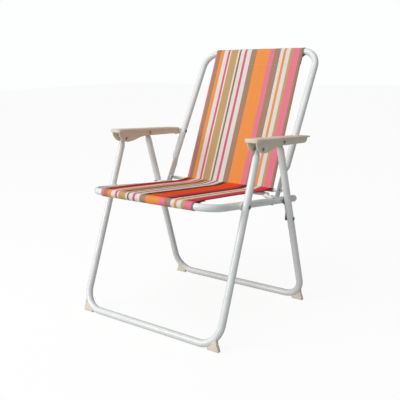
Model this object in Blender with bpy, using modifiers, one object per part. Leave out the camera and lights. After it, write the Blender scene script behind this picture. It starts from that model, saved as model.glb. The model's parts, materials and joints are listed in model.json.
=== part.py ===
"""Folding beach chair: a steel-tube frame with a stretched cloth sling.

The four tube frames, two cross bars, two armrests, four feet, spacers, plugs, catch plates and
rivets are separate objects, each with its own material.  +Z is up, the front faces -Y, and the
origin is on the floor under the middle of the chair.  Lengths are in metres.
"""
import math
from collections import namedtuple

import bmesh
import bpy
from mathutils import Euler, Matrix, Vector

NAME = "beach_chair"
MM = 0.001
GAP = 0.3 * MM                       # running gap between touching pieces

# --- Driving dimensions -----------------------------------------------------------------------
TUBE_R = 10.0 * MM                   # all four frames
BAR_R = 5.0 * MM                     # back lower bar
SEAT_BAR_R = 6.0 * MM                # seat rear bar
LEG_X = 246.0 * MM                   # half-width of both leg frames, centre line
SEAT_X = 220.0 * MM                  # half-width of the seat frame
BACK_X = 212.0 * MM                  # half-width of the back frame
SLING_X = 165.0 * MM                 # half-width of the cloth
FLOOR_CLEAR = 1.0 * MM               # the floor bars hang this far above the floor

FRONT_LEAN = math.radians(21.44)     # front legs lean back going up
REAR_LEAN = math.radians(-16.03)     # rear legs lean forward going up
BACK_LEAN = math.radians(29.57)      # back frame leans back going up
SEAT_DROP = math.radians(6.69)       # seat frame drops towards the rear

LEG_BEND_R = 60.0 * MM               # centre-line radius of the tube bends
BACK_BEND_R = 52.0 * MM
SEAT_BEND_R = 50.0 * MM

FRONT_BAR = Vector((0.0, -0.296, TUBE_R + FLOOR_CLEAR))
REAR_BAR = Vector((0.0, 0.14725, TUBE_R + FLOOR_CLEAR))
HINGE = Vector((0.0, 0.0546, 0.3302))        # seat to back
SEAT_LENGTH = 330.0 * MM                     # hinge to front bar
SEAT_TAIL = 80.0 * MM                        # hinge to rear end
BACK_LENGTH = 483.3 * MM                     # hinge to top bar
FRONT_LEG_TOP = 525.4 * MM                   # front floor bar to armrest rivet
REAR_LEG_TOP = 516.0 * MM                    # rear floor bar to armrest rivet
BACK_RIVET_UP = 193.5 * MM                   # hinge to armrest rivet
CATCH_DOWN = 240.5 * MM                      # armrest rivet to catch rivet, along the rear leg

# A pressed tube end: its flat and tapering lengths from the hole, half-width and tip past the hole.
PressedEnd = namedtuple("PressedEnd", "flat taper half tip")
LEG_END = PressedEnd(flat=4.0 * MM, taper=22.0 * MM, half=9.0 * MM, tip=8.0 * MM)
EYE_END = PressedEnd(flat=80.0 * MM, taper=26.0 * MM, half=13.0 * MM, tip=13.0 * MM)
RIBBON_THICK = 5.0 * MM              # thickness of both
EYE_X = 207.1 * MM                   # centre of the back frame's pressed lower ends

RIVET_R = 3.0 * MM
PIN_R = 3.5 * MM
BAR_RIVET_R = 2.0 * MM
OPEN_PIVOT_R = 5.2 * MM              # oversize hole in the front leg at the armrest

BACK_BAR_UP = 30.0 * MM              # hinge to the back bar's rivet, up the back
BACK_BAR_RUN = Vector((0.0, 0.1100, 0.3445))         # straight run in the cloth's lower hem
BACK_TAB = 17.0 * MM                 # flattened length past the rivet
TAB_HALF = 2.2 * MM                  # half thickness of the flattened tab
TAB_FLATTEN = 0.38                   # its thickness over the round bar's
SEAT_BAR_FORWARD = 45.0 * MM         # end of the seat bar, ahead of the hinge
SEAT_BAR_RUN = Vector((0.0, 0.0670, 0.3400))
SEAT_BAR_X = 172.0 * MM              # half-length of the seat bar's straight run
SEAT_PAD_HALF = 2.1 * MM             # half thickness of the seat bar's flattened ends

PLUG_R = 7.6 * MM                    # stem of a rail's end plug
PLUG_DEPTH = 14.0 * MM
SPACER_R = 11.0 * MM                 # between seat rail and front leg
BACK_SPACER_R = 7.0 * MM             # between back post and armrest

ARM_IN = 231.4 * MM                  # armrest walls, measured across the chair
ARM_OUT = 261.6 * MM
ARM_WALL = 3.0 * MM
PLATE_IN = 223.5 * MM                # armrest top plate
PLATE_OUT = 268.5 * MM
PLATE_THICK = 4.0 * MM
PLATE_RISE = 30.5 * MM               # plate's front edge above the front pivot
PLATE_AHEAD = 36.0 * MM              # plate's front edge ahead of the front pivot
PLATE_LENGTH = 286.0 * MM
PLATE_SLOPE = math.radians(4.0)      # the plate drops towards the rear
PLATE_CORNER = 13.0 * MM
PLATE_REAR_CORNER = 9.0 * MM
LIP_DROP = 9.5 * MM                  # rim round the plate's front
LIP_WALL = 2.8 * MM
LIP_RUN = 24.0 * MM
EAR_R = 9.5 * MM                     # ear for the back rivet
LOBE = (10.0 * MM, 23.0 * MM, 41.0 * MM, 34.5 * MM)  # front lobe: centre and half-axes in Y and Z

FOOT_IN, FOOT_OUT = 217.0 * MM, 250.0 * MM   # a foot's sole, measured across the chair
FOOT_HALF = 5.0 * MM                 # half of its length, front to rear
FOOT_SET = 2.0 * MM                  # a foot stands this far inside its bar, towards the middle

CATCH_IN = 231.3 * MM
CATCH_THICK = 2.5 * MM
CATCH_HALF = 8.0 * MM                # half-width of the catch plate
CATCH_NECK = 1.0 * MM                # its neck's front edge lies this far behind the leg's axis
SLING_THICK = 2.0 * MM
CREASE = Vector((0.1015, 0.3525))    # lower end of the back cloth's front face, in Y and Z
CREASE_SEAT = Vector((0.0965, 0.3455))       # rear end of the seat cloth
BACK_CLOTH_LEAN = math.radians(22.6)
WRAP_TURN = math.radians(235.0)      # the cloth's turn round a bar


def along(start, lean, distance):
    """Return the point at a distance from start, up a line that leans back by lean."""
    return start + Vector((0.0, math.sin(lean), math.cos(lean))) * distance


def seat_point(forward, rise=0.0):
    """Return a point on the seat's centre plane, forward of the hinge, raised square to it."""
    run = Vector((0.0, -math.cos(SEAT_DROP), math.sin(SEAT_DROP)))
    lift = Vector((0.0, math.sin(SEAT_DROP), math.cos(SEAT_DROP)))
    return HINGE + run * forward + lift * rise


def crossing(start, lean, forward_line):
    """Return where a leaning leg crosses the seat's centre line."""
    leg = Vector((math.sin(lean), math.cos(lean)))
    seat = Vector((-math.cos(SEAT_DROP), math.sin(SEAT_DROP)))
    gap = Vector((forward_line.y - start.y, forward_line.z - start.z))
    distance = (gap.x * seat.y - gap.y * seat.x) / (leg.x * seat.y - leg.y * seat.x)
    return along(start, lean, distance)


ARM_FRONT_PIVOT = along(FRONT_BAR, FRONT_LEAN, FRONT_LEG_TOP)
ARM_REAR_PIVOT = along(REAR_BAR, REAR_LEAN, REAR_LEG_TOP)
ARM_BACK_PIVOT = along(HINGE, BACK_LEAN, BACK_RIVET_UP)
LEG_PIVOT = crossing(FRONT_BAR, FRONT_LEAN, HINGE)
CATCH_PIVOT = along(ARM_REAR_PIVOT, REAR_LEAN, -CATCH_DOWN)
BACK_BAR_END = along(HINGE, BACK_LEAN, BACK_BAR_UP)
BACK_BAR_EYE_X = EYE_X - RIBBON_THICK / 2 - GAP
PLATE_FRONT = Vector((0.0, ARM_FRONT_PIVOT.y - PLATE_AHEAD, ARM_FRONT_PIVOT.z + PLATE_RISE))
CLOTH_WRAP_R = TUBE_R + 3 * GAP


# --- Scene helpers ----------------------------------------------------------------------------
def clear_scene():
    """Remove every object that the file opened with."""
    for obj in list(bpy.data.objects):
        bpy.data.objects.remove(obj)


def new_collection(name):
    """Make a collection in the scene."""
    collection = bpy.data.collections.new(name)
    bpy.context.scene.collection.children.link(collection)
    return collection


def new_material(name, colour, roughness, metallic=0.0):
    """Make a Principled material."""
    material = bpy.data.materials.new(name)
    material.use_nodes = True
    shader = material.node_tree.nodes["Principled BSDF"]
    shader.inputs["Base Color"].default_value = (*colour, 1.0)
    shader.inputs["Roughness"].default_value = roughness
    shader.inputs["Metallic"].default_value = metallic
    return material


def add_object(name, data, material, collection):
    """Link new object data with its material; what goes in the cutters only shapes its target."""
    obj = bpy.data.objects.new(name, data)
    collection.objects.link(obj)
    if collection is CUTTERS:
        obj.hide_render = True
        obj.display_type = "WIRE"
    if material is not None:
        data.materials.clear()
        data.materials.append(material)
    return obj


def cut(target, cutter):
    """Subtract a cutter from its target."""
    modifier = target.modifiers.new("cut", "BOOLEAN")
    modifier.operation = "DIFFERENCE"
    modifier.object = cutter
    modifier.solver = "EXACT"


def shade_round(obj, angle=40.0):
    """Shade a round piece smooth, with its edges kept sharp."""
    obj.data.shade_smooth()
    obj.data.set_sharp_from_angle(angle=math.radians(angle))


def closed_mesh(obj):
    """Replace a curve object by its mesh, with the caps welded."""
    bpy.context.view_layer.update()
    depsgraph = bpy.context.evaluated_depsgraph_get()
    mesh = bpy.data.meshes.new_from_object(obj.evaluated_get(depsgraph))
    work = bmesh.new()
    work.from_mesh(mesh)
    bmesh.ops.remove_doubles(work, verts=work.verts, dist=0.00001)
    bmesh.ops.recalc_face_normals(work, faces=work.faces)
    work.to_mesh(mesh)
    work.free()
    name, matrix, users = obj.name, obj.matrix_world.copy(), obj.users_collection[0]
    material = obj.data.materials[0] if obj.data.materials else None
    bpy.data.objects.remove(obj)
    solid = add_object(name, mesh, material, users)
    solid.matrix_world = matrix
    return solid


# --- Tubes ------------------------------------------------------------------------------------
def arc(centre, start, end, steps):
    """Return points on a quarter bend from start to end about a centre."""
    first, last = start - centre, end - centre
    points = []
    for step in range(steps + 1):
        turn = math.radians(90.0) * step / steps
        points.append(centre + first * math.cos(turn) + last * math.sin(turn))
    return points


def u_path(half, radius, length, end_run, steps=7):
    """Return one U in its own plane: legs along +Y, cross bar on Y = 0, with rings near the ends.

    end_run lists the distances before each leg's end at which the tube needs a ring.
    """
    leg = [Vector((half, length - back, 0.0)) for back in end_run]
    bend = arc(Vector((half - radius, radius, 0.0)), Vector((half, radius, 0.0)),
               Vector((half - radius, 0.0, 0.0)), steps)
    right = leg + bend
    left = [Vector((-point.x, point.y, 0.0)) for point in reversed(right)]
    return right + left


def tube(name, points, radius, material, collection, sides=12):
    """Make a solid round bar along a list of points."""
    curve = bpy.data.curves.new(name, "CURVE")
    curve.dimensions = "3D"
    curve.bevel_depth = radius
    curve.bevel_resolution = (sides - 4) // 2
    curve.use_fill_caps = True
    spline = curve.splines.new("POLY")
    spline.points.add(len(points) - 1)
    for target, point in zip(spline.points, points):
        target.co = (*point, 1.0)
    return closed_mesh(add_object(name, curve, material, collection))


def flatten_ends(obj, half, pivot, end, flat_x):
    """Press both leg ends of a U into ribbons with a round tip about the pivot.

    Args: half is the leg's X, pivot the hole's distance along the leg, end the pressed end's
    sizes, flat_x the ribbon's centre in X.
    """
    for vertex in obj.data.vertices:
        side = 1.0 if vertex.co.x > 0.0 else -1.0
        below = pivot - vertex.co.y
        if below > end.flat + end.taper:
            continue
        fade = min(max((below - end.flat) / end.taper, 0.0), 1.0)
        fade = fade * fade * (3.0 - 2.0 * fade)
        thin = RIBBON_THICK / 2 / TUBE_R
        wide = end.half / TUBE_R
        if below < 0.0:
            wide *= math.sqrt(max(1.0 - (below / end.tip) ** 2, 0.01))
        offset = side * vertex.co.x - half
        centre = flat_x + (half - flat_x) * fade
        vertex.co.x = side * (centre + offset * (thin + (1.0 - thin) * fade))
        vertex.co.z *= wide + (1.0 - wide) * fade


def frame_matrix(origin, lean):
    """Return the placement of a U: its Y runs up the lean from the origin."""
    return Matrix.Translation(origin) @ Euler((math.radians(90.0) - lean, 0.0, 0.0)).to_matrix().to_4x4()


def end_rings(end):
    """Return the ring distances for a pressed end, measured back from its tip."""
    tip_rings = [0.0, 0.18 * end.tip, 0.5 * end.tip, end.tip]
    taper = [end.tip + end.flat + end.taper * share for share in (0.0, 0.25, 0.5, 0.75, 1.0)]
    return tip_rings + taper


# --- Fasteners --------------------------------------------------------------------------------
def turned(name, profile, material, collection, steps=12):
    """Turn a profile about the local Z axis; the profile runs down its outer side."""
    mesh = bpy.data.meshes.new(name)
    mesh.from_pydata([(radius, 0.0, height) for radius, height in profile],
                     [(i, i + 1) for i in range(len(profile) - 1)], [])
    obj = add_object(name, mesh, material, collection)
    screw = obj.modifiers.new("turn", "SCREW")
    screw.axis = "Z"
    screw.steps = steps
    screw.render_steps = steps
    screw.use_merge_vertices = True
    screw.merge_threshold = 0.00002
    screw.use_smooth_shade = True
    return obj


def rivet_profile(shank, grip, head_r, head_h, tail_r, tail_h):
    """Return a rivet's outline: a domed head above the grip, a flatter one below."""
    return [(0.0, grip + head_h), (head_r * 0.6, grip + head_h * 0.8), (head_r, grip + head_h * 0.25),
            (head_r, grip), (shank, grip), (shank, 0.0), (tail_r, 0.0), (tail_r, -tail_h * 0.4),
            (tail_r * 0.6, -tail_h), (0.0, -tail_h)]


def place_across(obj, side, inner, point):
    """Stand a turned piece across the chair: its zero at X = inner, its top outboard."""
    obj.location = (side * inner, point.y, point.z)
    obj.rotation_euler = (0.0, side * math.radians(90.0), 0.0)


def rivet(name, side, point, inner, outer, shank=RIVET_R, head=(5.5, 2.4), tail=(5.0, 2.0)):
    """Make a rivet across the chair that grips from X = inner to X = outer."""
    profile = rivet_profile(shank, outer - inner, head[0] * MM, head[1] * MM, tail[0] * MM, tail[1] * MM)
    obj = turned(name, profile, ZINC, PARTS)
    place_across(obj, side, inner, point)
    return obj


def drill_bit(name, radius, depth, segments=16):
    """Make a round cutter, centred on its origin, along its local Z axis."""
    mesh = bpy.data.meshes.new(name)
    work = bmesh.new()
    bmesh.ops.create_cone(work, cap_ends=True, segments=segments, radius1=radius, radius2=radius,
                          depth=depth)
    work.to_mesh(mesh)
    work.free()
    return add_object(name, mesh, None, CUTTERS)


def hole(target, side, point, inner, outer, radius):
    """Drill a round hole across the chair through a target."""
    cutter = drill_bit(target.name + "_hole", radius, outer - inner)
    cutter.location = (side * (inner + outer) / 2, point.y, point.z)
    cutter.rotation_euler = (0.0, math.radians(90.0), 0.0)
    cut(target, cutter)


def bush(name, side, point, inner, outer, bore, radius, material):
    """Make a round spacer across the chair with a bore for its rivet."""
    length = outer - inner
    rim = 0.8 * MM
    profile = [(bore, length), (radius - rim, length), (radius, length - rim), (radius, rim),
               (radius - rim, 0.0), (bore, 0.0), (bore, length)]
    obj = turned(name, profile, material, PARTS, steps=16)
    place_across(obj, side, inner, point)
    return obj


# --- Flat outlines ----------------------------------------------------------------------------
def plate(name, outline, thickness, material, collection):
    """Make a flat plate from a closed outline in its local XY plane, centred on Z = 0."""
    curve = bpy.data.curves.new(name, "CURVE")
    curve.dimensions = "2D"
    curve.fill_mode = "BOTH"
    curve.extrude = thickness / 2
    spline = curve.splines.new("POLY")
    spline.points.add(len(outline) - 1)
    for target, point in zip(spline.points, outline):
        target.co = (point[0], point[1], 0.0, 1.0)
    spline.use_cyclic_u = True
    return add_object(name, curve, material, collection)


def rounded(corners, steps=4):
    """Round an outline's corners; each corner is (u, v, radius)."""
    points = []
    count = len(corners)
    for i, (u, v, radius) in enumerate(corners):
        here = Vector((u, v))
        before = Vector(corners[i - 1][:2]) - here
        after = Vector(corners[(i + 1) % count][:2]) - here
        if radius <= 0.0:
            points.append(here)
            continue
        angle = before.angle(after)
        reach = radius / math.tan(angle / 2)
        start = here + before.normalized() * reach
        end = here + after.normalized() * reach
        for step in range(steps + 1):
            share = step / steps
            points.append(start.lerp(here, share).lerp(here.lerp(end, share), share))
    return points


# Local X of an upright outline runs to +Y, its local Y runs to +Z and its thickness lies in X.
UPRIGHT = Matrix(((0, 0, 1, 0), (1, 0, 0, 0), (0, 1, 0, 0), (0, 0, 0, 1)))


# --- Frames -----------------------------------------------------------------------------------
def leg_frame(name, bar, lean, pivot):
    """Make one leg frame: floor bar, two bends and pressed upper ends."""
    path = u_path(LEG_X, LEG_BEND_R, pivot + LEG_END.tip, end_rings(LEG_END))
    obj = tube(name, path, TUBE_R, WHITE, PARTS)
    flatten_ends(obj, LEG_X, pivot, LEG_END, LEG_X)
    obj.matrix_world = frame_matrix(bar, lean)
    shade_round(obj)
    return obj


def build_front_legs():
    """Make the front leg frame with its holes."""
    obj = leg_frame("front_leg_frame", FRONT_BAR, FRONT_LEAN, FRONT_LEG_TOP)
    for side in (1, -1):
        hole(obj, side, ARM_FRONT_PIVOT, LEG_X - 2 * TUBE_R, LEG_X + 2 * TUBE_R, OPEN_PIVOT_R)
        hole(obj, side, LEG_PIVOT, LEG_X - 2 * TUBE_R, LEG_X + 2 * TUBE_R, RIVET_R + GAP)
    return obj


def build_rear_legs():
    """Make the rear leg frame with its holes."""
    obj = leg_frame("rear_leg_frame", REAR_BAR, REAR_LEAN, REAR_LEG_TOP)
    for side in (1, -1):
        for point in (ARM_REAR_PIVOT, CATCH_PIVOT):
            hole(obj, side, point, LEG_X - 2 * TUBE_R, LEG_X + 2 * TUBE_R, RIVET_R + GAP)
    return obj


def build_seat_frame():
    """Make the seat frame: front bar, two rails and their open rear ends."""
    length = SEAT_LENGTH + SEAT_TAIL
    path = u_path(SEAT_X, SEAT_BEND_R, length, [0.0, SEAT_TAIL])
    obj = tube("seat_frame", path, TUBE_R, WHITE, PARTS)
    front = seat_point(SEAT_LENGTH)
    obj.matrix_world = frame_matrix(front, math.radians(90.0) + SEAT_DROP)
    shade_round(obj)
    inner, outer = SEAT_X - 2 * TUBE_R, SEAT_X + 2 * TUBE_R
    for side in (1, -1):
        hole(obj, side, HINGE, inner, outer, PIN_R + GAP)
        hole(obj, side, LEG_PIVOT, inner, outer, RIVET_R + GAP)
        plug_socket(obj, side)
        seat_bar_hole(obj, side)
    return obj


def build_back_frame():
    """Make the back frame: top bar, two posts and flattened eyes at the hinge."""
    path = u_path(BACK_X, BACK_BEND_R, BACK_LENGTH + EYE_END.tip, end_rings(EYE_END))
    obj = tube("back_frame", path, TUBE_R, WHITE, PARTS)
    flatten_ends(obj, BACK_X, BACK_LENGTH, EYE_END, EYE_X)
    top = along(HINGE, BACK_LEAN, BACK_LENGTH)
    obj.matrix_world = frame_matrix(top, BACK_LEAN + math.radians(180.0))
    shade_round(obj)
    inner, outer = BACK_X - 2 * TUBE_R, BACK_X + 2 * TUBE_R
    for side in (1, -1):
        hole(obj, side, HINGE, inner, outer, PIN_R + GAP)
        hole(obj, side, ARM_BACK_PIVOT, inner, outer, RIVET_R + GAP)
        hole(obj, side, BACK_BAR_END, inner, outer, BAR_RIVET_R + GAP)
    return obj


# --- Cross bars -------------------------------------------------------------------------------
def mirrored_path(right):
    """Return a bar's path from its right half, which ends at the middle."""
    return right + [Vector((-point.x, point.y, point.z)) for point in reversed(right)]


def smooth_bend(before, corner, after, radius, steps=4):
    """Return points that round one corner of a bar."""
    start = corner + (before - corner).normalized() * radius
    end = corner + (after - corner).normalized() * radius
    return [start.lerp(corner, i / steps).lerp(corner.lerp(end, i / steps), i / steps)
            for i in range(steps + 1)]


def build_back_bar():
    """Make the bowed lower back bar: flat tabs on the eyes, then a straight run behind them."""
    tab_x = BACK_BAR_EYE_X - TAB_HALF
    end = Vector((tab_x, BACK_BAR_END.y, BACK_BAR_END.z))
    direction = Vector((0.0, BACK_BAR_RUN.y - end.y, BACK_BAR_RUN.z - end.z)).normalized()
    corner_a = end + direction * (BACK_TAB + 11.0 * MM)
    corner_b = Vector((SLING_X + 5.0 * MM, BACK_BAR_RUN.y, BACK_BAR_RUN.z))
    middle = Vector((0.0, BACK_BAR_RUN.y, BACK_BAR_RUN.z))
    tip = end - direction * 6.0 * MM
    right = [tip, end + direction * BACK_TAB]
    right += smooth_bend(end, corner_a, corner_b, 8.0 * MM)
    right += smooth_bend(corner_a, corner_b, middle, 14.0 * MM)
    obj = tube("back_lower_bar", mirrored_path(right), BAR_R, WHITE, PARTS, sides=10)
    for vertex in obj.data.vertices:
        near = (Vector((0.0, vertex.co.y, vertex.co.z)) - Vector((0.0, end.y, end.z))).dot(direction)
        if near < BACK_TAB + 1.0 * MM and abs(vertex.co.x) > tab_x - 2 * BAR_R:
            side = 1.0 if vertex.co.x > 0.0 else -1.0
            vertex.co.x = side * (tab_x + (side * vertex.co.x - tab_x) * TAB_FLATTEN)
    shade_round(obj)
    for side in (1, -1):
        hole(obj, side, BACK_BAR_END, tab_x - 9.0 * MM, tab_x + 9.0 * MM, BAR_RIVET_R + GAP)
    return obj


def build_back_bar_rivets():
    """Make the rivets that hold the lower back bar on the back frame's flattened ends.

    Their outer heads are nearly flush, because they pass the seat rails as the chair folds.
    """
    inner = BACK_BAR_EYE_X - 2 * TAB_HALF
    outer = EYE_X + RIBBON_THICK / 2 + GAP
    for side, word in SIDES:
        rivet("back_bar_rivet_" + word, side, BACK_BAR_END, inner, outer, BAR_RIVET_R,
              head=(3.2, 0.5), tail=(3.6, 1.6))


def seat_bar_end():
    """Return the fixing point of the seat bar, on top of the rail."""
    return seat_point(SEAT_BAR_FORWARD, TUBE_R + SEAT_PAD_HALF + 0.5 * MM)


def build_seat_bar():
    """Make the bowed seat rear bar, with flattened ends lying on the two seat rails."""
    end = seat_bar_end()
    tip = Vector((SEAT_X + 7.0 * MM, end.y, end.z))
    corner_a = Vector((SEAT_X - 24.0 * MM, end.y, end.z))
    corner_b = Vector((SEAT_BAR_X, SEAT_BAR_RUN.y, SEAT_BAR_RUN.z))
    middle = Vector((0.0, SEAT_BAR_RUN.y, SEAT_BAR_RUN.z))
    right = [tip, Vector((SEAT_X - 7.0 * MM, end.y, end.z))]
    right += smooth_bend(tip, corner_a, corner_b, 10.0 * MM)
    right += smooth_bend(corner_a, corner_b, middle, 14.0 * MM)
    obj = tube("seat_rear_bar", mirrored_path(right), SEAT_BAR_R, WHITE, PARTS, sides=10)
    for vertex in obj.data.vertices:
        if abs(vertex.co.x) > SEAT_X - 8.0 * MM:
            vertex.co.z = end.z + (vertex.co.z - end.z) * SEAT_PAD_HALF / SEAT_BAR_R
    shade_round(obj)
    for side in (1, -1):
        seat_bar_hole(obj, side)
    return obj


def seat_bar_hole(target, side):
    """Drill the upright hole for the seat bar's rivet."""
    end = seat_bar_end()
    cutter = drill_bit(target.name + "_upright_hole", BAR_RIVET_R + GAP, 6 * TUBE_R, segments=12)
    cutter.location = (side * SEAT_X, end.y, end.z - TUBE_R)
    cut(target, cutter)


def build_seat_bar_rivets():
    """Make the upright rivets through the seat bar's ends and the rails."""
    end = seat_bar_end()
    low = seat_point(SEAT_BAR_FORWARD, -TUBE_R).z - 1.0 * MM
    for side, word in SIDES:
        profile = rivet_profile(BAR_RIVET_R, end.z + 2.4 * MM - low, 3.8 * MM, 1.8 * MM, 3.6 * MM, 1.4 * MM)
        obj = turned("seat_bar_rivet_" + word, profile, ZINC, PARTS)
        obj.location = (side * SEAT_X, end.y, low)


# --- Seat plugs -------------------------------------------------------------------------------
def tail_matrix(side):
    """Return the frame at the rear end of a seat rail, its Z pointing out of the tube."""
    end = seat_point(-SEAT_TAIL)
    end.x = side * SEAT_X
    return Matrix.Translation(end) @ Euler((-(math.radians(90.0) + SEAT_DROP), 0.0, 0.0)).to_matrix().to_4x4()


def plug_socket(target, side):
    """Bore the rail's open end for its plug."""
    cutter = drill_bit("plug_socket", PLUG_R + GAP, 2 * (PLUG_DEPTH + GAP))
    cutter.matrix_world = tail_matrix(side)
    cut(target, cutter)


def build_seat_plugs():
    """Make the domed plugs in the rear ends of the seat rails."""
    for side, word in SIDES:
        profile = [(0.0, 5.0 * MM), (5.5 * MM, 4.0 * MM), (9.0 * MM, 1.8 * MM), (TUBE_R, GAP),
                   (PLUG_R, GAP), (PLUG_R, -PLUG_DEPTH + 2 * MM), (PLUG_R - 2 * MM, -PLUG_DEPTH),
                   (0.0, -PLUG_DEPTH)]
        obj = turned("seat_plug_" + word, profile, IVORY, PARTS, steps=16)
        obj.matrix_world = tail_matrix(side)


# --- Armrests ---------------------------------------------------------------------------------
def arm_wall_outline():
    """Return the side outline of the armrest's walls: front lobe, S-curve, straight rear."""
    y0, z0 = ARM_FRONT_PIVOT.y, ARM_FRONT_PIVOT.z
    drop = math.tan(PLATE_SLOPE)
    high = z0 + PLATE_RISE - 2.0 * MM
    top = [(y0 + 243.0 * MM, high - drop * 275.0 * MM), (y0 - 31.0 * MM, high)]
    lobe = []
    for step in range(9):
        turn = math.radians(180.0 + 100.0 * step / 8)
        lobe.append((y0 + LOBE[0] + LOBE[2] * math.cos(turn), z0 + LOBE[1] + LOBE[3] * math.sin(turn)))
    curve = [(y0 + 34.0 * MM, z0 - 9.2 * MM), (y0 + 52.0 * MM, z0 - 4.8 * MM),
             (y0 + 72.0 * MM, z0 - 1.2 * MM), (y0 + 92.0 * MM, z0 - 0.9 * MM)]
    rear = [(y0 + 226.0 * MM, z0 - 7.6 * MM), (y0 + 233.0 * MM, z0 - 6.0 * MM),
            (y0 + 238.0 * MM, z0 - 1.0 * MM)]
    return lobe + curve + rear + top


def upright_plate(name, outline, x_centre, thickness, material, collection):
    """Make an upright plate in a YZ plane."""
    obj = plate(name, outline, thickness, material, collection)
    obj.matrix_world = Matrix.Translation((x_centre, 0.0, 0.0)) @ UPRIGHT
    return closed_mesh(obj)


def join(target, tool):
    """Unite two meshes."""
    modifier = target.modifiers.new("join", "BOOLEAN")
    modifier.operation = "UNION"
    modifier.object = tool
    modifier.solver = "EXACT"


def armrest_plate(name, side, thickness, width_inset, collection, sink=0.0):
    """Make the armrest's sloping top plate, or a smaller plate that is inset and sunk below it."""
    inner, outer = PLATE_IN + width_inset, PLATE_OUT - width_inset
    front, rear = width_inset, PLATE_LENGTH - width_inset
    corner = PLATE_CORNER - width_inset
    outline = rounded([(inner, front, corner), (outer, front, corner), (outer, rear, PLATE_REAR_CORNER),
                       (inner, rear, PLATE_REAR_CORNER)])
    obj = plate(name, [(side * u, v) for u, v in outline], thickness, IVORY, collection)
    obj.matrix_world = (Matrix.Translation(PLATE_FRONT)
                        @ Euler((-PLATE_SLOPE, 0.0, 0.0)).to_matrix().to_4x4()
                        @ Matrix.Translation((0.0, 0.0, -sink - thickness / 2)))
    return closed_mesh(obj)


def build_armrests():
    """Make the two moulded armrests: a channel of two walls under a lipped top plate."""
    middle = (ARM_IN + ARM_OUT) / 2
    side, word = SIDES[0]
    obj = armrest_plate("armrest_" + word, side, PLATE_THICK, 0.0, PARTS)
    block = upright_plate("armrest_block", arm_wall_outline(), side * middle, ARM_OUT - ARM_IN, None,
                          CUTTERS)
    cut(block, inner_channel(side))
    join(obj, block)
    join(obj, armrest_lip(side))
    join(obj, armrest_ear(side))
    for point in (ARM_FRONT_PIVOT, ARM_REAR_PIVOT):
        hole(obj, side, point, ARM_IN - 5 * MM, ARM_OUT + 5 * MM, RIVET_R + GAP)
    hole(obj, side, ARM_BACK_PIVOT, ARM_IN - 5 * MM, ARM_IN + 6 * MM, RIVET_R + GAP)
    mirrored_copy(obj, "armrest_" + SIDES[1][1])


def mirrored_copy(obj, name):
    """Make the other hand of a finished piece."""
    bpy.context.view_layer.update()
    depsgraph = bpy.context.evaluated_depsgraph_get()
    mesh = bpy.data.meshes.new_from_object(obj.evaluated_get(depsgraph))
    mesh.transform(Matrix.Diagonal((-1.0, 1.0, 1.0, 1.0)) @ obj.matrix_world)
    mesh.flip_normals()
    return add_object(name, mesh, obj.data.materials[0], PARTS)


def inner_channel(side):
    """Make the cutter that hollows the armrest, open below and at the front."""
    y0, z0 = ARM_FRONT_PIVOT.y, ARM_FRONT_PIVOT.z
    drop = math.tan(PLATE_SLOPE)
    roof = PLATE_RISE - PLATE_THICK + 0.5 * MM
    back = 239.0 * MM
    outline = [(y0 - 60.0 * MM, z0 - 40.0 * MM), (y0 + 214.0 * MM, z0 - 40.0 * MM),
               (y0 + 232.0 * MM, z0 - 2.0 * MM), (y0 + back, z0 + roof - drop * (back + 36.0 * MM)),
               (y0 - 60.0 * MM, z0 + roof + drop * 24.0 * MM)]
    return upright_plate("armrest_channel", outline, side * (ARM_IN + ARM_OUT) / 2,
                         ARM_OUT - ARM_IN - 2 * ARM_WALL, None, CUTTERS)


def armrest_lip(side):
    """Make the deeper rim round the front of the armrest's top plate."""
    sink = 1.0 * MM
    rim = armrest_plate("armrest_lip", side, LIP_DROP - sink, 0.2 * MM, CUTTERS, sink)
    hollow = armrest_plate("armrest_lip_hollow", side, 3 * LIP_DROP, LIP_WALL, CUTTERS, -LIP_DROP)
    cut(rim, hollow)
    near, far = PLATE_FRONT.y + LIP_RUN, PLATE_FRONT.y + 2 * PLATE_LENGTH
    low, high = PLATE_FRONT.z - PLATE_LENGTH, PLATE_FRONT.z + PLATE_LENGTH
    behind = upright_plate("armrest_lip_end", [(near, low), (far, low), (far, high), (near, high)],
                           side * (ARM_IN + ARM_OUT) / 2, 2 * (PLATE_OUT - PLATE_IN), None, CUTTERS)
    cut(rim, behind)
    return rim


def armrest_ear(side):
    """Make the ear on the armrest's inner wall that carries the back rivet."""
    centre = ARM_BACK_PIVOT
    root = centre.y - 22.0 * MM
    outline = [(root, centre.z - EAR_R), (centre.y, centre.z - EAR_R)]
    for step in range(1, 8):
        turn = math.radians(-90.0 + 180.0 * step / 8)
        outline.append((centre.y + EAR_R * math.cos(turn), centre.z + EAR_R * math.sin(turn)))
    outline += [(centre.y, centre.z + EAR_R), (root, centre.z + EAR_R)]
    return upright_plate("armrest_ear", outline, side * (ARM_IN + ARM_WALL / 2),
                         ARM_WALL - 0.2 * MM, None, CUTTERS)


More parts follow.
